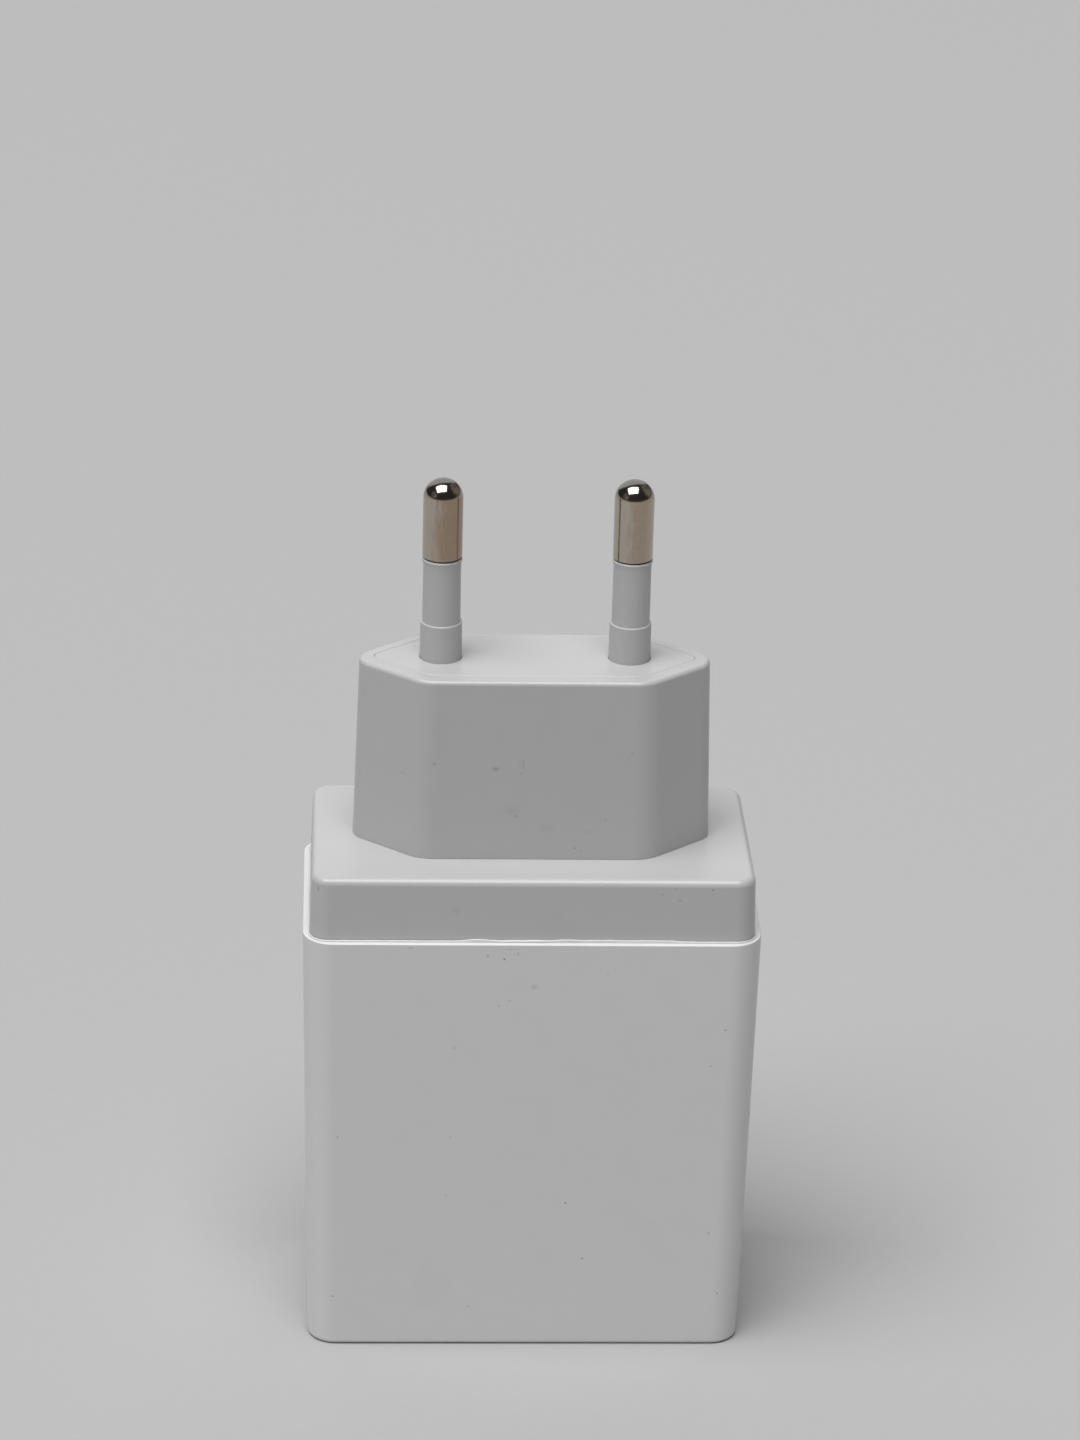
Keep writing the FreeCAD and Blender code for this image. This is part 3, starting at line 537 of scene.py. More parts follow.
# %% Group: specks
def make_speck_group():
    """Small dark specks, one in some of the cells of a Voronoi pattern."""
    inputs = {"Place": "Vector", "Cell size": "Float", "Speck size": "Float", "Share": "Float"}
    tree, given = new_tree("specks", "ShaderNodeTree", inputs, {"Mask": "Float"})
    spread = in_steps(tree, given["Place"], given["Cell size"])
    cells = add_node(tree, "ShaderNodeTexVoronoi", {"Vector": spread, "Scale": 1.0}).outputs
    chance, growth, _ = parts_of(tree, cells["Color"])
    chosen = maths(tree, "LESS_THAN", chance, given["Share"])
    radius = maths(tree, "DIVIDE", given["Speck size"], given["Cell size"])
    radius = times(tree, radius, plus(tree, growth, 0.4))
    dot = fade(tree, maths(tree, "DIVIDE", cells["Distance"], radius), 1.3, 0.7)
    give_out(tree, Mask=times(tree, dot, chosen))
    return tree


speck_group = make_speck_group()
print("made", speck_group.name)

# %% Group: placed marks
def make_mark_group():
    """One small mark at a chosen place: full inside its half sizes, gone just outside them."""
    inputs = {"Place": "Vector", "Middle": "Vector", "Half size": "Vector"}
    tree, given = new_tree("placed mark", "ShaderNodeTree", inputs, {"Mask": "Float"})
    offset = vector_maths(tree, "SUBTRACT", given["Place"], given["Middle"])["Vector"]
    scaled = vector_maths(tree, "DIVIDE", offset, given["Half size"])["Vector"]
    give_out(tree, Mask=fade(tree, vector_maths(tree, "LENGTH", scaled)["Value"], 1.3, 0.5))
    return tree


mark_group = make_mark_group()
print("made", mark_group.name)

# %% Group: brushed lines
def make_brushed_group():
    """Fine lines round or along a turned or rolled metal part."""
    inputs = {"Place": "Vector", "Line scale": "Vector"}
    tree, given = new_tree("brushed lines", "ShaderNodeTree", inputs, {"Lines": "Float"})
    spread = vector_maths(tree, "MULTIPLY", given["Place"], given["Line scale"])["Vector"]
    sockets = {"Vector": spread, "Scale": 1.0, "Detail": 4.0, "Roughness": 0.6}
    give_out(tree, Lines=result_of(tree, "ShaderNodeTexNoise", sockets))
    return tree


brushed_group = make_brushed_group()
print("made", brushed_group.name)

# %% [markdown]
# ## Starting and ending a material
# A material is started the same way each time: an output, a Principled BSDF and the object's
# own coordinates. A number that is the same all over is set on the shader's own socket. Each
# finish is kept by name, and the object's own finishes are named after the CAD model's slots.

# %% Material helpers
finishes = {}
# A Mix node has sockets for every kind of value. These are the numbers of the colour ones.
mix_colour_inputs = (6, 7)
mix_colour_output = 2


def new_finish(name):
    """Starts a finish and keeps it under its name. Returns its tree, its shader and the place."""
    material = bpy.data.materials.new(f"{name}_finish")
    finishes[name] = material
    material.use_nodes = True
    tree = material.node_tree
    tree.nodes.clear()
    shader = tree.nodes.new("ShaderNodeBsdfPrincipled")
    add_node(tree, "ShaderNodeOutputMaterial", {"Surface": shader.outputs[0]})
    place = add_node(tree, "ShaderNodeTexCoord").outputs["Object"]
    return tree, shader, place


def use_group(tree, group, **values):
    """Places a shared group and fills its inputs. Returns its outputs."""
    return connect(tree, add_node(tree, "ShaderNodeGroup", node_tree=group), **values).outputs


def blend_colours(tree, share, first, second):
    """A mix of two colours, by a share from 0 to 1."""
    mix = add_node(tree, "ShaderNodeMix", {0: share}, data_type="RGBA")
    for number, colour in zip(mix_colour_inputs, (first, second)):
        fill_socket(tree, mix.inputs[number], (*colour, 1) if isinstance(colour, tuple) else colour)
    return mix.outputs[mix_colour_output]


def grey(shade):
    """A colour without a tint."""
    return (shade,) * 3


def set_surface(tree, shader, height, depth, **sockets):
    """Fills the shader's sockets and bumps the surface by a height field, as deep as depth."""
    bump = add_node(tree, "ShaderNodeBump", {"Height": height, "Distance": depth, "Strength": 1.0})
    connect(tree, shader, Normal=bump.outputs[0], **sockets)


print("material helpers ready")

# %% [markdown]
# ## White moulded plastics
# The sleeve and the cover are two mouldings from two batches. The sleeve is a bright white
# and the cover a shade greyer, as such pairs often are. Seen close, both have a faint orange
# peel, a few dust specks and some greasy smudges from handling, which change the gloss more
# than the colour. One function makes all the moulded plastics, from the shared groups.
#
# Some marks stand where they are on the real faces: dark specks of dust, a smudge in the middle
# of the plug and a small scratch beside it. One thin dark mark just under the sleeve's lip is a
# painted shadow under a small burr there. A random pattern can't put them there, so each is a
# small mask at its own place, and a little noise makes its outline ragged. A mark reaches some
# way in depth, so one plane serves both the step of the cover and its plug.

# %% Moulded plastics
peel_size = 0.25 * mm
peel_depth = 0.003 * mm
wave_size = 3.0 * mm
dust_spacing = 4.0 * mm
dust_size = 0.06 * mm
# The colour of dust specks and placed marks; one of the sleeve's marks is a painted shadow.
dust_and_shadow_grey = (0.22, 0.21, 0.2)
smudge_size = 7.0 * mm
smudge_edge = (0.62, 0.78)
smudge_shade = 0.93
mark_raggedness = 0.25 * mm
mark_depth = 8 * mm


def with_marks(tree, place, mask, front, marks):
    """A mask with marks on a front face added: x, z, half width, half height in mm, and strength."""
    sockets = {"Vector": place, "Scale": 1 / mark_raggedness, "Detail": 2.0}
    jitter = add_node(tree, "ShaderNodeTexNoise", sockets).outputs["Color"]
    centred = vector_maths(tree, "SUBTRACT", jitter, (0.5, 0.5, 0.5))["Vector"]
    ragged = vector_maths(tree, "MULTIPLY_ADD", centred, (mark_raggedness,) * 3, place)["Vector"]
    for x, z, half_width, half_height, strength in marks:
        mark = use_group(tree, mark_group, Place=ragged, Middle=(x * mm, front, z * mm),
                         Half_size=(half_width * mm, mark_depth, half_height * mm))["Mask"]
        mask = larger(tree, mask, times(tree, mark, strength))
    return mask


def make_moulding(name, light, dark, roughness, mark_colour=dust_and_shadow_grey, front=0.0, marks=()):
    """Satin plastic between two tones, with orange peel, dust, smudges and any placed marks."""
    tree, shader, place = new_finish(name)
    grain = use_group(tree, grain_group, Place=place, Fine_size=peel_size, Wave_size=wave_size)
    specks = use_group(tree, speck_group, Place=place, Cell_size=dust_spacing, Speck_size=dust_size,
                       Share=0.12)["Mask"]
    smudge = fade(tree, noise(tree, place, smudge_size, 3.0), *smudge_edge)
    clean = blend_colours(tree, grain["Blotches"], dark, light)
    greasy = tuple(smudge_shade * c for c in dark)
    handled = blend_colours(tree, times(tree, smudge, 0.3), clean, greasy)
    specks_and_marks = times(tree, specks, 0.5)
    # Placed marks darken towards the mark colour; one of the sleeve's marks is a painted shadow under a
    # burr.
    if marks:
        specks_and_marks = with_marks(tree, place, specks_and_marks, front, marks)
    marked_tone = blend_colours(tree, specks_and_marks, handled, mark_colour)
    set_surface(tree, shader, grain["Height"], peel_depth, Base_Color=marked_tone,
                Roughness=raised(tree, roughness, smudge, 0.1), IOR=1.5)


print("dust is", dust_and_shadow_grey)

# %% The plastics and their marks
cover_front = -10 * mm
# Each mark is x, z, half width, half height in mm, and strength; the thin one at x −12.3 just under the lip
# is a painted shadow under a small burr.
sleeve_marks_and_burr_shadow = [(-4.6, 45.6, 0.10, 0.12, 0.5), (-2.9, 45.2, 0.13, 0.12, 0.8), (-1.5, 45.8, 0.07, 0.2, 0.45),
                (-2.3, 46.3, 0.9, 0.05, 0.25), (-12.3, 46.4, 0.3, 0.07, 0.3), (0.1, 42.1, 0.14, 0.14, 0.5),
                (0.2, 42.1, 0.4, 0.35, 0.15), (-3.3, 39.9, 0.1, 0.14, 0.4), (-2.3, 40.5, 0.2, 0.07, 0.35),
                (7.6, 43.5, 0.1, 0.1, 0.3), (-7.8, 35.1, 0.15, 0.2, 0.2), (19.7, 37.2, 0.12, 0.1, 0.5),
                (18.4, 33.1, 0.13, 0.12, 0.3), (-19.5, 24.7, 0.09, 0.13, 0.5), (-8.0, 24.7, 0.1, 0.1, 0.45),
                (-8.3, 17.9, 0.1, 0.1, 0.45), (4.0, 17.0, 0.12, 0.1, 0.75), (5.9, 10.4, 0.12, 0.09, 0.7),
                (18.9, 13.5, 0.1, 0.12, 0.6), (20.1, 6.2, 0.15, 0.12, 0.4), (-5.8, 4.6, 0.14, 0.12, 0.45),
                (-19.9, 5.8, 0.12, 0.1, 0.6)]
cover_marks = [(-3.95, 63.4, 0.45, 0.25, 0.5), (-1.2, 63.9, 0.05, 0.75, 0.45), (-1.6, 63.7, 0.04, 0.5, 0.25),
               (-1.4, 62.9, 0.25, 0.09, 0.45), (-10.1, 63.9, 0.17, 0.2, 0.4), (-13.2, 62.3, 0.35, 0.07, 0.5),
               (9.7, 65.2, 0.12, 0.12, 0.4), (-2.3, 58.9, 0.9, 0.6, 0.1), (-1.9, 58.3, 0.25, 0.2, 0.3),
               (1.3, 56.9, 1.0, 0.5, 0.1), (5.5, 56.6, 0.5, 0.3, 0.08), (7.2, 57.9, 0.13, 0.1, 0.4),
               (4.2, 54.8, 0.13, 0.12, 0.55), (4.8, 54.5, 0.12, 0.1, 0.5), (12.8, 52.1, 0.12, 0.12, 0.6),
               (14.1, 52.7, 0.12, 0.11, 0.4), (14.6, 51.4, 0.13, 0.12, 0.5), (17.9, 52.6, 0.12, 0.12, 0.7),
               (-21.6, 52.3, 0.1, 0.3, 0.5), (-7.8, 50.2, 0.5, 0.4, 0.12)]
make_moulding("housing_plastic", grey(0.72), grey(0.70), 0.28, front=sleeve_low.y, marks=sleeve_marks_and_burr_shadow)
make_moulding("cover_plastic", grey(0.51), grey(0.495), 0.28, front=cover_front, marks=cover_marks)
make_moulding("pin_sleeve_plastic", grey(0.51), grey(0.49), 0.4)
make_moulding("port_plastic", (0.75, 0.75, 0.73), (0.72, 0.72, 0.70), 0.35)
make_moulding("black_moulding", (0.034, 0.034, 0.036), (0.026, 0.026, 0.028), 0.5, mark_colour=grey(0.2))
make_moulding("film_box_plastic", (0.82, 0.70, 0.11), (0.76, 0.64, 0.09), 0.38)
print("moulded plastics made, with", len(sleeve_marks_and_burr_shadow) + len(cover_marks), "placed marks")

# %% [markdown]
# ## Worn nickel, with painted reflection and shade
# The pins are brass with a thin coat of nickel. It mirrors the light above and the table in
# front, and it has gone warm and slightly dull where it slid in and out of sockets, the left
# pin more than the right. Across each pin the tone is paler on the left and browner towards
# the right, partly wear and partly a painted reflection of the brighter room on the left. The
# dome is painted darker and cooler than the shank, a painted shade that holds its highlight
# down, and mottled brown, a painted reflection of the room. Fine scratches run along the pin,
# because that is the way it moves.
# The metal itself is one Principled BSDF with full metallic, and its colour and roughness
# change along the scratches. A clean and a worn shader could be mixed instead, but one shader
# with changing values is simpler.

# %% Nickel
pin_nodes = {side: f"mains_pin_{side}" for side in ("left", "right")}
pin_places = {side: sum(corner.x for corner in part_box(node)) / 2 for side, node in pin_nodes.items()}
pin_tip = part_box("mains_pin_left")[1].z
scratch_size = (0.1 * mm, 0.1 * mm, 5.0 * mm)
scratch_depth = 0.0008 * mm
mottle_size = 0.3 * mm
pit_spacing = 0.5 * mm
pit_size = 0.06 * mm
streak_size = 0.5 * mm
streak_swing = 3.0 * mm
# These fade the tone browner across each pin towards its right side, which is partly wear and partly painted
# reflection.
brown_side_from = -1.5 * mm
brown_side_to = 0.3 * mm
paler_from = 0.9 * mm
paler_to = 1.8 * mm
dome_from = pin_tip - 1.9 * mm
dome_to = pin_tip - 1.0 * mm
clean_nickel = (0.50, 0.455, 0.39)
worn_and_shaded_nickel = (0.385, 0.285, 0.205)
pitted_nickel = (0.62, 0.54, 0.40)
# The dome tones are painted darker than the clean nickel, a painted shade that holds the highlight down, and
# the brown one is a painted reflection of the room.
dome_shade_and_reflection_tones = ((0.38, 0.365, 0.345), (0.335, 0.30, 0.265))


def wear_and_reflection_of_pins(tree, place, mottle):
    """Wear and painted reflection of the nickel, and the dome, which isn't worn. The tone turns browner
    towards each pin's right side, partly wear and partly painted reflection, and less so on the right pin.
    The left pin is worn more than the right.
    """
    x, y, z = parts_of(tree, place)
    which = maths(tree, "SIGN", x)
    across = maths(tree, "SUBTRACT", x, times(tree, which, pin_places["right"]))
    streaks = noise(tree, place, streak_size, 3.0, (1, 1, 5))
    # Browner towards each pin's right side: wear and painted reflection together.
    wear_and_reflection = fade(tree, plus(tree, across, swing(tree, streaks, streak_swing)), brown_side_from, brown_side_to)
    right_pin_paler = fade(tree, times(tree, across, which), paler_from, paler_to, 0.35, 0.8)
    wear_and_reflection = maths(tree, "SUBTRACT", wear_and_reflection, times(tree, right_pin_paler, fade(tree, which, -1, 1)))
    wear_and_reflection = larger(tree, plus(tree, wear_and_reflection, swing(tree, mottle, 0.5)), 0.0)
    dome = fade(tree, z, dome_from, dome_to)
    return times(tree, wear_and_reflection, maths(tree, "SUBTRACT", 1.0, dome)), dome


def make_nickel():
    """Bright nickel over brass with lengthwise scratches, a browner side that is partly wear and partly
    painted reflection, a dome with painted shade and painted brown reflection, and small pits.
    """
    tree, shader, place = new_finish("pin_nickel")
    scale = tuple(1 / size for size in scratch_size)
    lines = use_group(tree, brushed_group, Place=place, Line_scale=scale)["Lines"]
    mottle = noise(tree, place, mottle_size, 4.0)
    pits = use_group(tree, speck_group, Place=place, Cell_size=pit_spacing, Speck_size=pit_size,
                     Share=0.35)["Mask"]
    wear_and_reflection, dome = wear_and_reflection_of_pins(tree, place, mottle)
    tone = blend_colours(tree, maths(tree, "MINIMUM", wear_and_reflection, 1.0), clean_nickel, worn_and_shaded_nickel)
    tone = blend_colours(tree, times(tree, pits, 0.35), tone, pitted_nickel)
    # The dome is painted darker and mottled brown: painted shade and painted reflection.
    dome_shade_and_reflection = blend_colours(tree, fade(tree, mottle, 0.4, 0.65), *dome_shade_and_reflection_tones)
    tone = blend_colours(tree, dome, tone, dome_shade_and_reflection)
    rough = raised(tree, raised(tree, 0.07, lines, 0.09), wear_and_reflection, 0.06)
    set_surface(tree, shader, raised(tree, pits, lines, 0.6), scratch_depth,
                Base_Color=tone, Metallic=1.0, Roughness=rough)


make_nickel()
print("pins stand at", {side: round(place / mm, 2) for side, place in pin_places.items()})

# %% [markdown]
# ## The metals inside
# Shells, tabs, cans and leads are rolled or drawn, so each shows fine lines the way it was
# worked and cloudy patches where it has dulled. Each could have its own tree, but they differ
# in numbers only. One function covers them: two tones, a gloss, and the size of the lines
# along each axis.

# %% Rolled and drawn metals
dull_patch_size = 2.5 * mm
line_depth = 0.002 * mm


def make_metal(name, bright, dull, roughness, line_size):
    """A metal between a bright and a dull tone, with lines of a given size along x, y and z in mm."""
    tree, shader, place = new_finish(name)
    scale = tuple(1 / (size * mm) for size in line_size)
    lines = use_group(tree, brushed_group, Place=place, Line_scale=scale)["Lines"]
    clouds = fade(tree, noise(tree, place, dull_patch_size, 4.0), 0.4, 0.65)
    set_surface(tree, shader, lines, line_depth, Base_Color=blend_colours(tree, clouds, bright, dull),
                Metallic=1.0, Roughness=raised(tree, roughness, lines, 0.15))


make_metal("shell_steel", grey(0.66), (0.56, 0.56, 0.57), 0.2, (0.1, 3.0, 0.1))
make_metal("contact_gold", (0.88, 0.66, 0.30), (0.80, 0.58, 0.24), 0.12, (0.08, 0.08, 2.0))
make_metal("tab_brass", (0.80, 0.64, 0.36), (0.68, 0.52, 0.28), 0.22, (2.0, 0.1, 0.1))
make_metal("tinned_wire", grey(0.70), (0.60, 0.60, 0.61), 0.25, (0.1, 0.1, 1.5))
make_metal("capacitor_aluminium", (0.74, 0.74, 0.75), (0.68, 0.68, 0.69), 0.25, (3.0, 3.0, 0.1))
make_metal("spreader_aluminium", (0.72, 0.72, 0.73), (0.62, 0.62, 0.63), 0.3, (3.0, 0.1, 0.1))
make_metal("fuse_cap_metal", (0.70, 0.70, 0.69), grey(0.60), 0.12, (0.1, 1.0, 1.0))
print("finishes so far:", len(finishes))

# %% [markdown]
# ## The other finishes inside
# The board, the coils and the rest each get the one thing that tells them apart: the board's
# woven glass under green lacquer, the coil's side-by-side turns under varnish, the sparkle of
# sintered ferrite, the overlaps of wound tape, the runs in a dipped glaze, and the fibres of
# pressed paper. Ferrite, rubber and ceramic differ in numbers only, so they share a function,
# and each of the others has a short one of its own.

# %% Board laminate
def bands(tree, place, size, axis, wobble, profile="SIN"):
    """Soft or saw-toothed bands across an axis. Each is about a third of the size wide."""
    sockets = {"Vector": place, "Scale": 1 / size, "Distortion": wobble}
    wave = add_node(tree, "ShaderNodeTexWave", sockets, bands_direction=axis, wave_profile=profile)
    return wave.outputs["Fac"]


def make_board_laminate():
    """Green lacquer over woven glass cloth."""
    tree, shader, place = new_finish("board_laminate")
    threads = [bands(tree, place, 2.4 * mm, axis, 0.4) for axis in "XYZ"]
    weave = times(tree, larger(tree, threads[0], threads[1]), threads[2])
    clouds = noise(tree, place, 4.0 * mm, 3.0)
    shade = raised(tree, times(tree, weave, 0.4), clouds, 0.6)
    tone = blend_colours(tree, shade, (0.035, 0.17, 0.07), (0.06, 0.27, 0.11))
    set_surface(tree, shader, weave, 0.01 * mm, Base_Color=tone, Roughness=raised(tree, 0.28, weave, 0.1))


make_board_laminate()
print("made board laminate")

# %% Coil, tape and ferrite
def make_enamelled_copper():
    """Side-by-side turns of copper wire under amber varnish."""
    tree, shader, place = new_finish("enamelled_copper")
    turns = bands(tree, place, 1.2 * mm, "Y", 0.3)
    clouds = noise(tree, place, 1.5 * mm, 3.0)
    tone = blend_colours(tree, clouds, (0.50, 0.20, 0.07), (0.68, 0.33, 0.13))
    set_surface(tree, shader, turns, 0.05 * mm, Base_Color=tone, Metallic=1.0,
                Roughness=raised(tree, 0.15, clouds, 0.15), Coat_Weight=0.5, Coat_Roughness=0.1)


def make_tape():
    """Yellow polyester tape wound in layers, with the edge of each layer showing."""
    tree, shader, place = new_finish("tape_yellow")
    layers = bands(tree, place, 9.0 * mm, "Z", 1.5, profile="SAW")
    clouds = noise(tree, place, 3.0 * mm, 3.0)
    tone = blend_colours(tree, clouds, (0.72, 0.52, 0.05), (0.85, 0.68, 0.10))
    set_surface(tree, shader, layers, 0.03 * mm, Base_Color=tone, Roughness=raised(tree, 0.2, layers, 0.15))


def make_grainy(name, light, dark, roughness, grain_size, depth):
    """A pressed or fired surface with visible grains: ferrite, ceramic, rubber. Sizes are in mm."""
    tree, shader, place = new_finish(name)
    size = grain_size * mm
    grain = use_group(tree, grain_group, Place=place, Fine_size=size, Wave_size=8 * size)
    glints = use_group(tree, speck_group, Place=place, Cell_size=3 * size, Speck_size=0.5 * size,
                       Share=0.25)["Mask"]
    set_surface(tree, shader, grain["Height"], depth * mm, Roughness=raised(tree, roughness, glints, -0.25),
                Base_Color=blend_colours(tree, grain["Blotches"], dark, light))


make_enamelled_copper()
make_tape()
make_grainy("ferrite", (0.085, 0.085, 0.09), (0.055, 0.055, 0.06), 0.65, 0.12, 0.02)
make_grainy("bung_rubber", grey(0.036), grey(0.025), 0.75, 0.2, 0.015)
make_grainy("fuse_ceramic", (0.82, 0.81, 0.77), (0.77, 0.76, 0.72), 0.6, 0.15, 0.01)
print("finishes so far:", len(finishes))

# %% Glaze and paper
def make_disc_glaze():
    """Blue resin that the disc was dipped in, with runs down to its leads."""
    tree, shader, place = new_finish("disc_glaze")
    runs = noise(tree, place, 1.2 * mm, 2.0, (1, 1, 4))
    tone = blend_colours(tree, runs, (0.06, 0.15, 0.42), (0.10, 0.24, 0.58))
    set_surface(tree, shader, runs, 0.05 * mm, Base_Color=tone, Coat_Weight=0.3,
                Roughness=raised(tree, 0.12, runs, 0.12))


def make_sheet_paper():
    """Pressed insulating paper with long fibres."""
    tree, shader, place = new_finish("sheet_paper")
    fibres = noise(tree, place, 0.15 * mm, 5.0, (8, 1, 3))
    clouds = noise(tree, place, 4.0 * mm, 3.0)
    shade = raised(tree, times(tree, fibres, 0.6), clouds, 0.4)
    tone = blend_colours(tree, shade, (0.66, 0.64, 0.53), (0.80, 0.78, 0.69))
    set_surface(tree, shader, fibres, 0.02 * mm, Base_Color=tone,
                Roughness=fade(tree, fibres, 0.3, 0.7, 0.75, 0.95))


make_disc_glaze()
make_sheet_paper()
print("finishes:", len(finishes))

# %% [markdown]
# ## The sleeve
# The sleeve is one deep moulding: tapered walls, a flat foot with three port windows, posts
# for the port board and ribs for the main board. It is built as it would be designed: an
# outer block, less the room inside, plus the fittings, less the windows. Cutting solids is
# quicker to read and to change than bridging faces round each window.

# %% Sleeve fittings
shell_low, shell_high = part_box("usb_shell_1")
port_low, port_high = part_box("port_board")
board_low, board_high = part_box("main_board")
port_nodes = sorted(name for name in frame["nodes"] if name.startswith("usb_shell_"))
port_places = [sum(corner.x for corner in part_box(name)) / 2 for name in port_nodes]
mouth_size = (2 * (shell_high.x - port_places[0]), shell_high.y - shell_low.y)
wall = 1.8 * mm
foot_thickness = 2.0 * mm
overshoot = 0.1 * mm
rim_overshoot = 1.0 * mm
window_clearance = 0.12 * mm
window_lead_in = 0.45 * mm
window_corner = 0.7 * mm
post_side = 2.6 * mm
post_corner = 0.3 * mm
rib_thickness = 1.0 * mm
rib_corner = 0.2 * mm
rib_clearance = 0.1 * mm
rib_overlap = 1.1 * mm
rib_start = 0.3 * mm


def window_blocks(name, margin_low, margin_high, low, high):
    """The room of all port windows, with its own margin at each end."""
    sizes = [[side + 2 * margin for side in mouth_size] for margin in (margin_low, margin_high)]
    corners = rectangle_corners(sizes[0], window_corner + margin_low)
    piece = block(name, corners, low, high, shares(*sizes))
    return copies(piece, len(port_places), 1, port_places[-1] - port_places[0], 0)


def make_windows():
    """The windows and their lead-in chamfers."""
    wide = window_clearance + window_lead_in + overshoot
    return [window_blocks("windows", window_clearance, window_clearance, -overshoot,
                          foot_thickness + overshoot),
            window_blocks("lead_in", wide, window_clearance, -overshoot, window_lead_in)]


def make_posts():
    """Four posts that carry the port board."""
    inner = [high - post_side for high in port_high[:2]]
    outer = [side / 2 for side in sleeve_size(0, wall / 2)]
    size = [far - near for near, far in zip(inner, outer)]
    spread = [far + near for near, far in zip(inner, outer)]
    piece = block("posts", rectangle_corners(size, post_corner), foot_thickness / 2, port_low.z)
    return copies(piece, 2, 2, *spread)


def make_ribs():
    """Two pairs of ribs that hold the main board's side edges."""
    inner = board_high.x - rib_overlap
    outer = sleeve_size(board_high.z, wall / 2)[0] / 2
    spread = board_high.y - board_low.y + 2 * rib_clearance + rib_thickness
    middle = (board_high.y + board_low.y) / 2
    piece = block("ribs", rectangle_corners((outer - inner, rib_thickness), rib_corner),
                  board_low.z + rib_start, board_high.z, middle=(0, middle))
    return copies(piece, 2, 2, outer + inner, spread)


print("ports stand at", [round(place / mm, 2) for place in port_places])

# %% Sleeve
sleeve = sleeve_block("sleeve", 0, sleeve_height, 0, lower_edge=foot_edge, upper_edge=rim_edge)
inside = sleeve_block("room", foot_thickness, sleeve_height + rim_overshoot, wall)
combine(sleeve, "DIFFERENCE", [inside])
combine(sleeve, "UNION", [make_posts(), make_ribs()])
combine(sleeve, "DIFFERENCE", make_windows())
print("sleeve faces:", len(sleeve.data.polygons), "windows:", len(port_places))

# %% [markdown]
# ## The cover with its plug
# Cover and plug body are one hollow moulding. A shallow step carries the long hexagon of the
# plug, and under the step a skirt reaches down inside the sleeve. The step stands on a
# recessed land, and that leaves a slot between the two mouldings. The plug's face has a seat
# for the pin carrier. A low ridge with sloping sides runs round the seat and ends level with
# the carrier, so that the joint shows as a thin pale line and not as a dark groove. All this
# could be pulled out of one mesh, face by face, but its sizes would be lost in the mesh. Blocks
# that are joined and then hollowed keep each size where it can be read.

# %% Cover and plug sizes
cover_low, cover_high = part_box("plug_cover")
plate_low, plate_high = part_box("pin_carrier_plate")
plug_top = cover_high.z
plate_bottom = plate_low.z
plate_top = plate_high.z

rim_lip = 0.68 * mm
cover_height = 6.7 * mm
cover_draft = 0.2 * mm
cover_corner = 2.0 * mm
cover_edge = 0.7 * mm
cover_wall = 1.8 * mm
seam_gap = 0.12 * mm
seam_recess = 0.5 * mm
seam_edge = 0.12 * mm
skirt_clearance = 0.1 * mm
skirt_wall = 1.2 * mm

plug_base = sleeve_height + cover_height
plug_base_size = (36.4 * mm, 13.4 * mm)
plug_face_size = (35.3 * mm, 12.9 * mm)
plug_edge = 0.45 * mm
plug_wall = 1.7 * mm
plate_inset = 1.5 * mm
plate_clearance = 0.01 * mm
ridge_reach = 0.8 * mm
ridge_crest = 0.3 * mm
ledge_width = 1.2 * mm
ledge_thickness = 1.5 * mm
print("plug rises", round((plug_top - plug_base) / mm, 2), "mm above its step")

# %% Cover and plug
def cover_size(z, inset=0.0):
    """The cover step's width and depth at a height."""
    taper = cover_draft * (z - sleeve_height) / cover_height
    return [side - 2 * (inset + taper) for side in sleeve_size(sleeve_height, rim_lip)]


def make_cover():
    """Step, recessed land, skirt and plug, less the hollows and the seat for the pin carrier."""
    seam_top = sleeve_height + seam_gap
    lower = cover_size(seam_top)
    step = block("plug_cover", rectangle_corners(lower, cover_corner), seam_top, plug_base,
                 shares(lower, cover_size(plug_base)), lower_edge=seam_edge, upper_edge=cover_edge)
    land_size = cover_size(sleeve_height, seam_recess)
    land = block("land", rectangle_corners(land_size, cover_corner - seam_recess),
                 sleeve_height - overshoot, seam_top + overshoot)
    skirt_inset = wall + skirt_clearance
    skirt = sleeve_block("skirt", cover_low.z, sleeve_height, skirt_inset)
    plug = block("plug", plug_corners(plug_base_size), plug_base, plug_top,
                 shares(plug_base_size, plug_face_size), upper_edge=plug_edge)
    ridge_sizes = [[side - 2 * (plate_inset - outset) for side in plug_face_size]
                   for outset in (ridge_reach, ridge_crest)]
    ridge = block("ridge", plug_corners(plug_face_size, plate_inset - ridge_reach),
                  plug_top - overshoot, plate_top, shares(*ridge_sizes))
    combine(step, "UNION", [land, skirt, plug, ridge])

    hollow_inset = skirt_inset + skirt_wall
    roof = plug_base - cover_wall
    ledge = plate_bottom - ledge_thickness
    hollow = sleeve_block("hollow", cover_low.z - overshoot, roof, hollow_inset)
    plug_room = block("plug_room", plug_corners(plug_base_size, plug_wall), roof - overshoot, ledge,
                      shares(plug_base_size, plug_face_size))
    throat = block("throat", plug_corners(plug_face_size, plate_inset + ledge_width),
                   ledge - overshoot, plate_bottom + overshoot)
    seat = block("seat", plug_corners(plug_face_size, plate_inset - plate_clearance),
                 plate_bottom, plate_top + overshoot)
    return combine(step, "DIFFERENCE", [hollow, plug_room, throat, seat])


cover = make_cover()
print("cover faces:", len(cover.data.polygons))

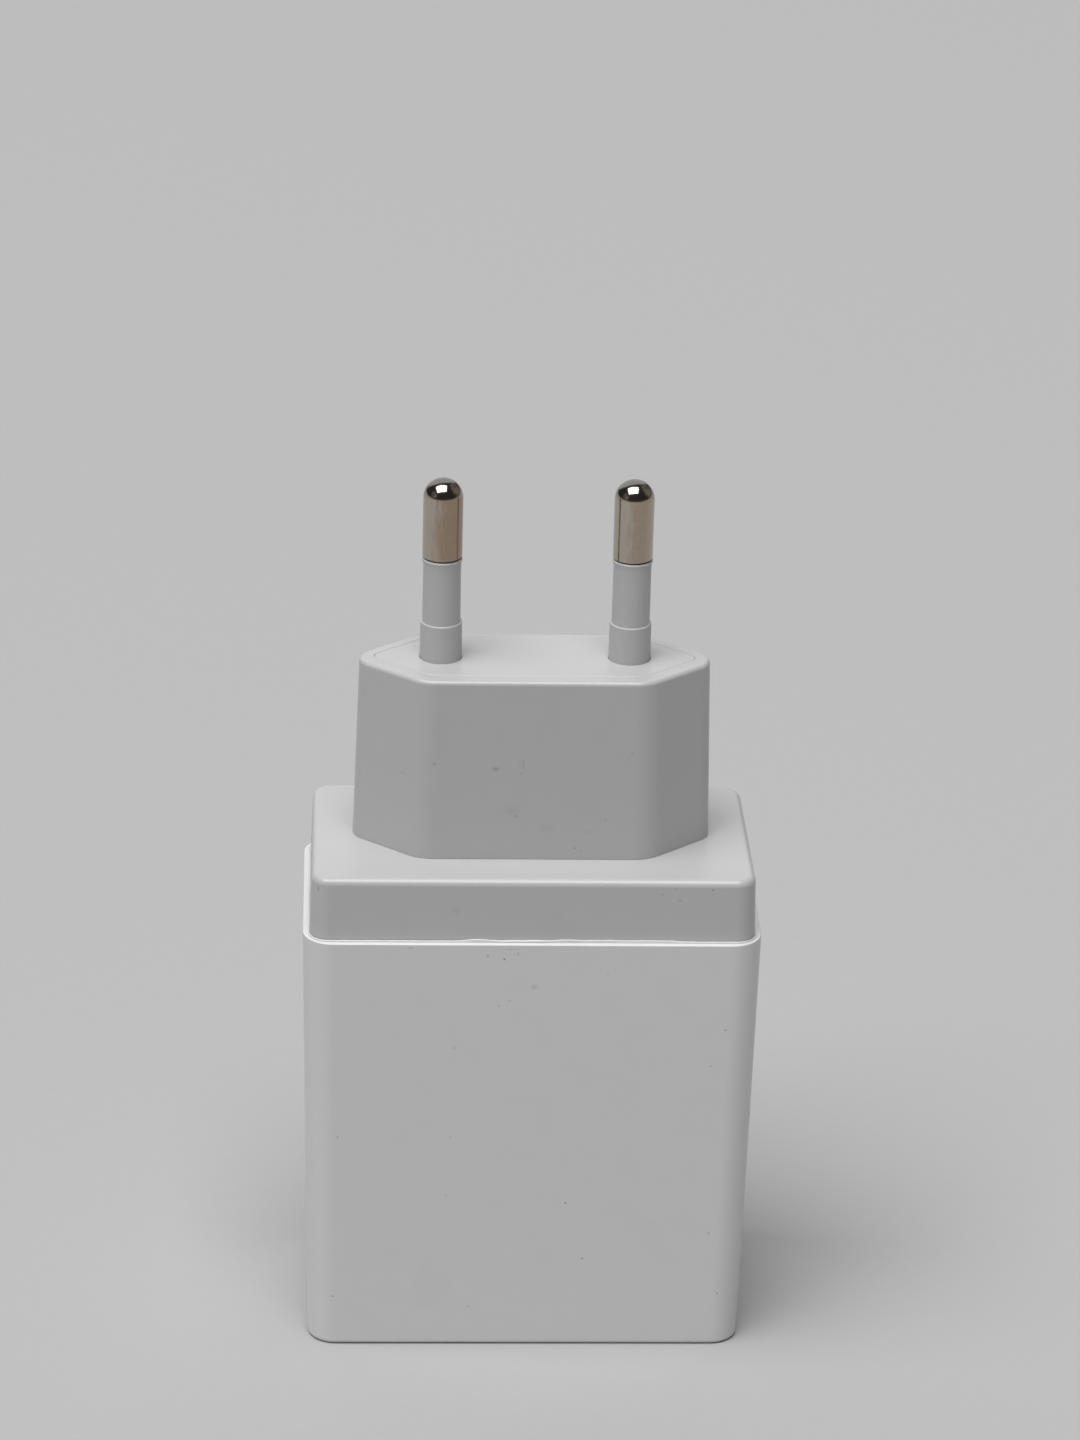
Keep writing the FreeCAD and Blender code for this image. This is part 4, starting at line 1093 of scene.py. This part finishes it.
# %% [markdown]
# ## Weld flash
# The cover is welded into the sleeve with ultrasound, and a little molten plastic is squeezed
# out of the seam. It sets as an uneven bead on the ledge: thick in some places, a raised ridge
# in others, thin in the corners. The bead follows a path, so Geometry Nodes make it: stations
# round the seam carry how thick it is and how high it rises, and the tree joins them into a
# ring, adds seeded unevenness and sweeps a small circle along it. A bevelled curve would be
# too even, and a sculpted bead couldn't follow the seam when the sleeve's size changes.

# %% The bead tree
bead_corner_steps = 10
bead_sides = 8


def make_bead_tree():
    """Ring of stations in, bead out: a strand as the stations say, and one that fills the seam."""
    tree, given = new_shape_tree("bead on a path", ("Step", "Unevenness", "Bump length", "Fill"), ["Seed"])
    outline = rounded_ring(tree, given["Geometry"], bead_corner_steps)
    sockets = {"Curve": outline, "Length": given["Step"]}
    path = result_of(tree, "GeometryNodeResampleCurve", sockets, mode="LENGTH")
    scale = maths(tree, "DIVIDE", 1.0, given["Bump length"])
    sockets = {"W": given["Seed"], "Scale": scale, "Detail": 2.0}
    bumps = result_of(tree, "ShaderNodeTexNoise", sockets, noise_dimensions="4D")
    uneven = swing(tree, bumps, times(tree, given["Unevenness"], 2.0))
    rise = times(tree, carried(tree, "rise"), raised(tree, 1.0, uneven, 0.5))
    thickness = times(tree, carried(tree, "thickness"), plus(tree, 1.0, uneven))
    filling = times(tree, given["Fill"], raised(tree, 1.0, uneven, 0.7))
    sockets = {"Resolution": bead_sides, "Radius": 1.0}
    section = result_of(tree, "GeometryNodeCurvePrimitiveCircle", sockets)
    strands = []
    for height, size in ((rise, thickness), (times(tree, given["Fill"], 0.6), filling)):
        sockets = {"Geometry": path, "Offset": vector_of(tree, z=height)}
        strand = result_of(tree, "GeometryNodeSetPosition", sockets)
        sockets = {"Curve": strand, "Profile Curve": section, "Scale": size}
        strands.append(result_of(tree, "GeometryNodeCurveToMesh", sockets))
    smooth = result_of(tree, "GeometryNodeSetShadeSmooth", {"Geometry": joined(tree, strands)})
    return finish_shape(tree, smooth, given["Material"])


bead_tree = make_bead_tree()
print("bead tree has", len(bead_tree.nodes), "nodes")

# %% Weld flash
front_bead = [(-19.6, 0.05, 0.05), (-18.6, 0.06, 0.13), (-15.0, 0.06, 0.13), (-13.0, 0.05, 0.10),
              (-8.5, 0.05, 0.12), (-7.0, 0.07, 0.16), (-6.0, 0.10, 0.22), (-5.0, 0.10, 0.22),
              (-4.4, 0.09, 0.14), (-3.7, 0.14, 0.09), (-1.0, 0.15, 0.10), (1.2, 0.14, 0.11),
              (1.9, 0.09, 0.16), (2.6, 0.09, 0.22), (4.2, 0.10, 0.23), (5.0, 0.08, 0.20),
              (7.8, 0.09, 0.22), (9.0, 0.08, 0.19), (14.0, 0.09, 0.19), (14.6, 0.07, 0.13),
              (15.3, 0.10, 0.11), (15.7, 0.05, 0.08), (16.1, 0.10, 0.12), (16.8, 0.04, 0.06),
              (17.5, 0.08, 0.09), (18.2, 0.04, 0.05), (19.6, 0.04, 0.05)]
station_gap = 2.4 * mm
corner_room = 1.2 * cover_corner
corner_bead = (0.04, 0.05)
side_thickness = (0.03, 0.11)
side_rise = (0.05, 0.20)


def side_stations(start, end, chance):
    """Uneven stations along one straight side, from near one corner to near the next."""
    along = (end - start).normalized()
    length = (end - start).length - 2 * corner_room
    count = int(length / station_gap)
    return [(start + along * (corner_room + length * step / count), 0.0,
             chance.uniform(*side_thickness), chance.uniform(*side_rise)) for step in range(count + 1)]


def make_weld_flash():
    """The uneven bead round the seam, lying where the cover meets the ledge."""
    half_width, half_depth = [(side + seam_gap) / 2 for side in cover_size(sleeve_height)]
    corners = rectangle(half_width, half_depth, sleeve_height)
    chance = random.Random(5)
    stations = []
    for number, corner in enumerate(corners):
        stations.append((corner, cover_corner, *corner_bead))
        if number == 0:
            stations += [(Vector((x * mm, corner.y, corner.z)), 0.0, thickness, rise)
                         for x, thickness, rise in front_bead]
        else:
            stations += side_stations(corner, corners[(number + 1) % 4], chance)
    piece = new_piece("weld_flash", [station[0] for station in stations], ring_of(len(stations)))
    for column, name, unit in ((1, "rounding", 1.0), (2, "thickness", mm), (3, "rise", mm)):
        carry(piece, name, [station[column] * unit for station in stations])
    return settle(add_tree(piece, bead_tree, Step=0.15 * mm, Unevenness=0.35, Bump_length=0.8 * mm,
                           Fill=0.11 * mm, Seed=3))


weld_flash = make_weld_flash()
print("weld flash faces:", len(weld_flash.data.polygons))

# %% [markdown]
# ## The pin carrier
# A flat plate closes the plug's face. It stands a hair proud of the face, level with the ridge
# round its seat, and its edge is rounded. Two bores let the roots of the pin sleeves through.
# A block has one outline without holes, so a turned cutter, copied to both sides, drills them.

# %% Pin carrier
pin_spacing = pin_places["right"] - pin_places["left"]
plate_edge = 0.12 * mm
collar_radius = 2.12 * mm
moulded_clearance = 0.02 * mm


def turned(name, profile, middle, steps=48, ring=False):
    """A shape turned round an upright axis from (radius, z) points: solid, or a closed ring."""
    turns = [2 * math.pi * step / steps for step in range(steps)]
    points = [(middle[0] + radius * math.cos(turn), middle[1] + radius * math.sin(turn), z)
              for radius, z in profile for turn in turns]
    levels = len(profile)
    faces = []
    for level in range(levels if ring else levels - 1):
        lower = level * steps
        upper = (level + 1) % levels * steps
        for step in range(steps):
            beside = (step + 1) % steps
            faces.append((lower + step, lower + beside, upper + beside, upper + step))
    if not ring:
        faces.append(tuple(reversed(range(steps))))
        faces.append(tuple(range(len(points) - steps, len(points))))
    return new_piece(name, points, faces=faces)


def make_plate():
    """The carrier plate with its two bores."""
    plate = block("pin_carrier", plug_corners(plug_face_size, plate_inset), plate_bottom, plate_top,
                  upper_edge=plate_edge)
    bore = collar_radius + moulded_clearance
    drill = turned("bores", [(bore, plate_bottom - overshoot), (bore, plate_top + overshoot)], (0, 0))
    return combine(plate, "DIFFERENCE", [copies(drill, 2, 1, pin_spacing, 0)])


plate = make_plate()
print("pins stand", round(pin_spacing / mm, 2), "mm apart")

# %% [markdown]
# ## The pins
# Each pin is turned from brass and plated with nickel: a straight shank with a dome at its
# tip. Under the bare tip a plastic sleeve keeps fingers off the live metal, with a thicker
# collar at its root. All are round, so each is one profile turned about its axis. Where the
# plastic ends under the metal it rolls out into a small lip, which shows as a bright ring. The
# Spin tool would turn a profile too, but can leave it inside out, and a short loop lays every
# face the right way.

# %% Pins and their sleeves
pin_radius = 2.0 * mm
pin_core_radius = 1.5 * mm
pin_flange_radius = 2.6 * mm
pin_flange_thickness = 1.0 * mm
pin_tail_radius = 1.0 * mm
tip_chamfer = 0.2 * mm
pin_sleeve_length = 10.7 * mm
tube_radius = 1.92 * mm
tube_lip = 0.17 * mm
collar_height = 3.9 * mm
collar_edge = 0.12 * mm
sleeve_draft = 0.03 * mm
lip_inset = 0.85 * tube_lip
lip_flare = 4 * tube_lip
lip_start = -15
dome_end = 88
dome_steps = 20
edge_steps = 5
lip_steps = 7
round_steps = 96


def arc(centre, radius, start, end, steps):
    """Points along an arc in the profile's plane, with its angles in degrees."""
    turns = [math.radians(start + (end - start) * i / steps) for i in range(steps + 1)]
    return [(centre[0] + radius * math.cos(t), centre[1] + radius * math.sin(t)) for t in turns]


def make_pin(side):
    """Tip, core, flange and tail of one pin."""
    low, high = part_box(pin_nodes[side])
    shoulder = plate_top + pin_sleeve_length
    flange_low = plate_bottom - pin_flange_thickness
    profile = [(pin_tail_radius, low.z), (pin_tail_radius, flange_low)]
    profile += [(pin_flange_radius, flange_low), (pin_flange_radius, plate_bottom)]
    profile += [(pin_core_radius, plate_bottom), (pin_core_radius, shoulder)]
    profile += [(pin_radius - tip_chamfer, shoulder), (pin_radius, shoulder + tip_chamfer)]
    profile += arc((0, high.z - pin_radius), pin_radius, 0, dome_end, dome_steps)
    return turned(f"pin_{side}", profile, (pin_places[side], 0), round_steps)


def make_pin_sleeve(side):
    """Root, collar and tube of one insulating sleeve, as a closed ring of wall."""
    collar_top = plate_top + collar_height
    top = plate_top + pin_sleeve_length
    bore = pin_core_radius + moulded_clearance
    outside = [(bore, plate_bottom), (collar_radius, plate_bottom), (collar_radius, plate_top)]
    collar_round = (collar_radius - sleeve_draft - collar_edge, collar_top - collar_edge)
    outside += arc(collar_round, collar_edge, 0, 90, edge_steps)
    outside += [(tube_radius, collar_top), (tube_radius - sleeve_draft, top - lip_flare)]
    outside += arc((pin_radius - lip_inset, top - tube_lip), tube_lip, lip_start, 90, lip_steps)
    outside += [(bore, top)]
    return turned(f"pin_sleeve_{side}", outside, (pin_places[side], 0), round_steps, ring=True)


pins = {side: make_pin(side) for side in pin_nodes}
pin_sleeves = {side: make_pin_sleeve(side) for side in pin_nodes}
print("pin faces:", len(pins["left"].data.polygons))

# %% [markdown]
# ## Ports seen through the foot
# Each port is a folded steel shell round a plastic tongue with four gold contacts. The CAD
# solids already have the right folds and cuts, but their edges are razor sharp, and real
# edges always catch a little light. Rebuilding them would only repeat those cuts, so a merged
# copy of each mesh gets a small live bevel instead.

# %% Softened ports
sharp_angle = math.radians(30)
flat_angle = math.radians(1)
merge_distance = 1e-6
soft_segments = 2


def soften_edges(piece, width):
    """Smooth shading, and a live bevel of the given width on every sharp edge."""
    piece.data.polygons.foreach_set("use_smooth", [True] * len(piece.data.polygons))
    piece.data.set_sharp_from_angle(angle=sharp_angle)
    if width:
        bevel = piece.modifiers.new("soft edges", "BEVEL")
        bevel.width = width
        bevel.segments = soft_segments
        bevel.angle_limit = sharp_angle
        bevel.use_clamp_overlap = False
        bevel.miter_outer = "MITER_ARC"
    weighted = piece.modifiers.new("flat faces stay flat", "WEIGHTED_NORMAL")
    weighted.keep_sharp = True


def softened(node, width):
    """A merged copy of a CAD node with clean faces and a small bevel on its sharp edges."""
    mesh = bmesh.new()
    mesh.from_mesh(frame["nodes"][node].data)
    bmesh.ops.remove_doubles(mesh, verts=mesh.verts, dist=merge_distance)
    bmesh.ops.dissolve_limit(mesh, angle_limit=flat_angle, verts=mesh.verts, edges=mesh.edges)
    copy = bpy.data.meshes.new(f"{node}_soft")
    mesh.to_mesh(copy)
    mesh.free()
    piece = into_scene(f"{node}_soft", copy)
    soften_edges(piece, width)
    return piece


port_softness = {"usb_shell": 0.05 * mm, "usb_insulator": 0.05 * mm, "usb_contacts": 0.03 * mm}
ports = {f"{kind}_{number}": softened(f"{kind}_{number}", width)
         for kind, width in port_softness.items() for number in range(1, len(port_places) + 1)}
print("port pieces:", len(ports))

# %% [markdown]
# ## Dressing
# Each piece gets its material and rides on the one rigid body, and each rebuilt piece takes the
# place of its CAD node, which is hidden. The record already says which finish each CAD node has,
# so the slot is looked up there. A list typed in here could fall out of step with it. The parts
# inside keep their CAD shapes and only change material.

# %% Dress the pieces
slot_of = {part["node"]: part["material_slot"] for part in frame["record"]["subparts"]}
moulding_softness = 0.06 * mm


def dress(piece, node, stands_for_it=True):
    """Gives a piece the finish of a CAD node and its place in the frame."""
    slot = slot_of[node]
    piece.data.materials.clear()
    piece.data.materials.append(finishes[slot])
    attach(piece, "root")
    if stands_for_it:
        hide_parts(node)


mouldings = {"housing_sleeve": sleeve, "plug_cover": cover, "pin_carrier_plate": plate}
turned_pieces = {}
for side, node in pin_nodes.items():
    turned_pieces.update({node: pins[side], f"pin_sleeve_{side}": pin_sleeves[side]})
for piece in mouldings.values():
    soften_edges(piece, moulding_softness)
for piece in turned_pieces.values():
    soften_edges(piece, 0)
rebuilt = mouldings | turned_pieces | ports
for node, piece in rebuilt.items():
    dress(piece, node)
dress(weld_flash, "housing_sleeve", stands_for_it=False)

inner = sorted(set(frame["nodes"]) - set(rebuilt))
for node in inner:
    for place in frame["nodes"][node].material_slots:
        place.material = finishes[slot_of[node]]
print("dressed:", len(rebuilt), "rebuilt nodes and", len(inner), "inner ones")

# %% [markdown]
# ## Table and light
# A pale matte floor runs far enough to fill the picture. The light is one very large softbox
# high overhead, a little in front and to the left, so that level faces are bright and the front
# is calmly grey. It stands far off, so that the floor is lit evenly. The room round it is dark,
# except for a pale wall behind and a pale rim at the horizon. Polished metal shows all of that:
# the domes of the pins carry a bright window in a dark field, with some brown furniture at its
# sides. A room that is evenly grey would make them look like chalk.

# %% Floor
floor_half = 3.0


def make_floor():
    """A wide pale floor."""
    floor = new_piece("floor", rectangle(floor_half, floor_half), faces=[(0, 1, 2, 3)])
    tree, shader, place = new_finish("floor_paper")
    tone = blend_colours(tree, noise(tree, place, 1.5 * mm, 4.0), grey(0.423), grey(0.439))
    connect(tree, shader, Base_Color=tone, Roughness=0.95, Specular_IOR_Level=0.35)
    floor.data.materials.append(finishes["floor_paper"])
    return floor


floor = make_floor()
print("floor spans", [round(side, 1) for side in floor.dimensions])

# %% Softbox
softbox_distance = 12.3
softbox_forward = math.radians(16)
softbox_left = math.radians(10)
softbox_size = (11.7, 9.0)
softbox_power = 2065.0


def make_softbox():
    """One large overhead light that faces the charger."""
    data = bpy.data.lights.new("softbox", "AREA")
    data.shape = "RECTANGLE"
    data.size, data.size_y = softbox_size
    data.energy = softbox_power
    light = into_scene("softbox", data)
    aim = Matrix.Rotation(softbox_forward, 4, "X") @ Matrix.Rotation(-softbox_left, 4, "Y")
    light.matrix_world = aim @ Matrix.Translation((0, 0, softbox_distance))
    return light


softbox = make_softbox()
print("softbox stands at", [round(v, 2) for v in softbox.matrix_world.translation])

# %% Room
pale_wall = {"turn": 172, "rise": 32, "spread": (44, 26)}
shelves = {"turn": 250, "rise": 28, "spread": (42, 16)}
chair = {"turn": 62, "rise": 24, "spread": (24, 8)}
wall_shade = 0.65
horizon_shade = 0.50
dark_shade = 0.015
wood = (0.36, 0.305, 0.265)
least_wood = 0.09


def share_of_room(tree, towards, turn, rise, spread):
    """How far a direction lies inside a soft round part of the room, given in degrees."""
    turn = math.radians(turn)
    rise = math.radians(rise)
    middle = (-math.sin(turn) * math.cos(rise), -math.cos(turn) * math.cos(rise), math.sin(rise))
    nearness = vector_maths(tree, "DOT_PRODUCT", towards, middle)["Value"]
    return fade(tree, nearness, *[math.cos(math.radians(edge)) for edge in spread])


def furniture_in(tree, towards):
    """How much of the brown furniture lies in a direction."""
    blocks = larger(tree, *[share_of_room(tree, towards, **part) for part in (shelves, chair)])
    clutter = fade(tree, noise(tree, towards, 0.25, 4.0), 0.35, 0.65, 0.35, 1.0)
    return larger(tree, times(tree, blocks, clutter), least_wood)


def make_room():
    """A dark room with a pale wall and horizon, and furniture that only polished metal shows."""
    world = bpy.data.worlds.new("studio")
    world.use_nodes = True
    tree = world.node_tree
    towards = add_node(tree, "ShaderNodeTexCoord").outputs["Generated"]
    rise = parts_of(tree, towards)["Z"]
    rays = add_node(tree, "ShaderNodeLightPath").outputs
    mirrored = larger(tree, rays["Is Glossy Ray"], rays["Is Transmission Ray"])
    wall_light = fade(tree, share_of_room(tree, towards, **pale_wall), 0.0, 1.0, dark_shade, wall_shade)
    sweep = fade(tree, rise, 0.0, 0.08, 0.8 * horizon_shade, horizon_shade)
    edge = times(tree, mirrored, fade(tree, rise, 0.09, 0.05))
    seen = times(tree, rays["Is Camera Ray"], fade(tree, rise, 0.19, 0.13))
    level = larger(tree, wall_light, times(tree, sweep, larger(tree, seen, edge)))
    in_the_dark = times(tree, mirrored, fade(tree, level, 0.1, 0.02))
    furniture = times(tree, furniture_in(tree, towards), in_the_dark)
    colour = blend_colours(tree, furniture, level, wood)
    connect(tree, tree.nodes["Background"], Color=colour)
    bpy.context.scene.world = world


make_room()
bpy.context.scene.view_settings.view_transform = "Standard"
print("room shades:", dark_shade, wall_shade, horizon_shade)
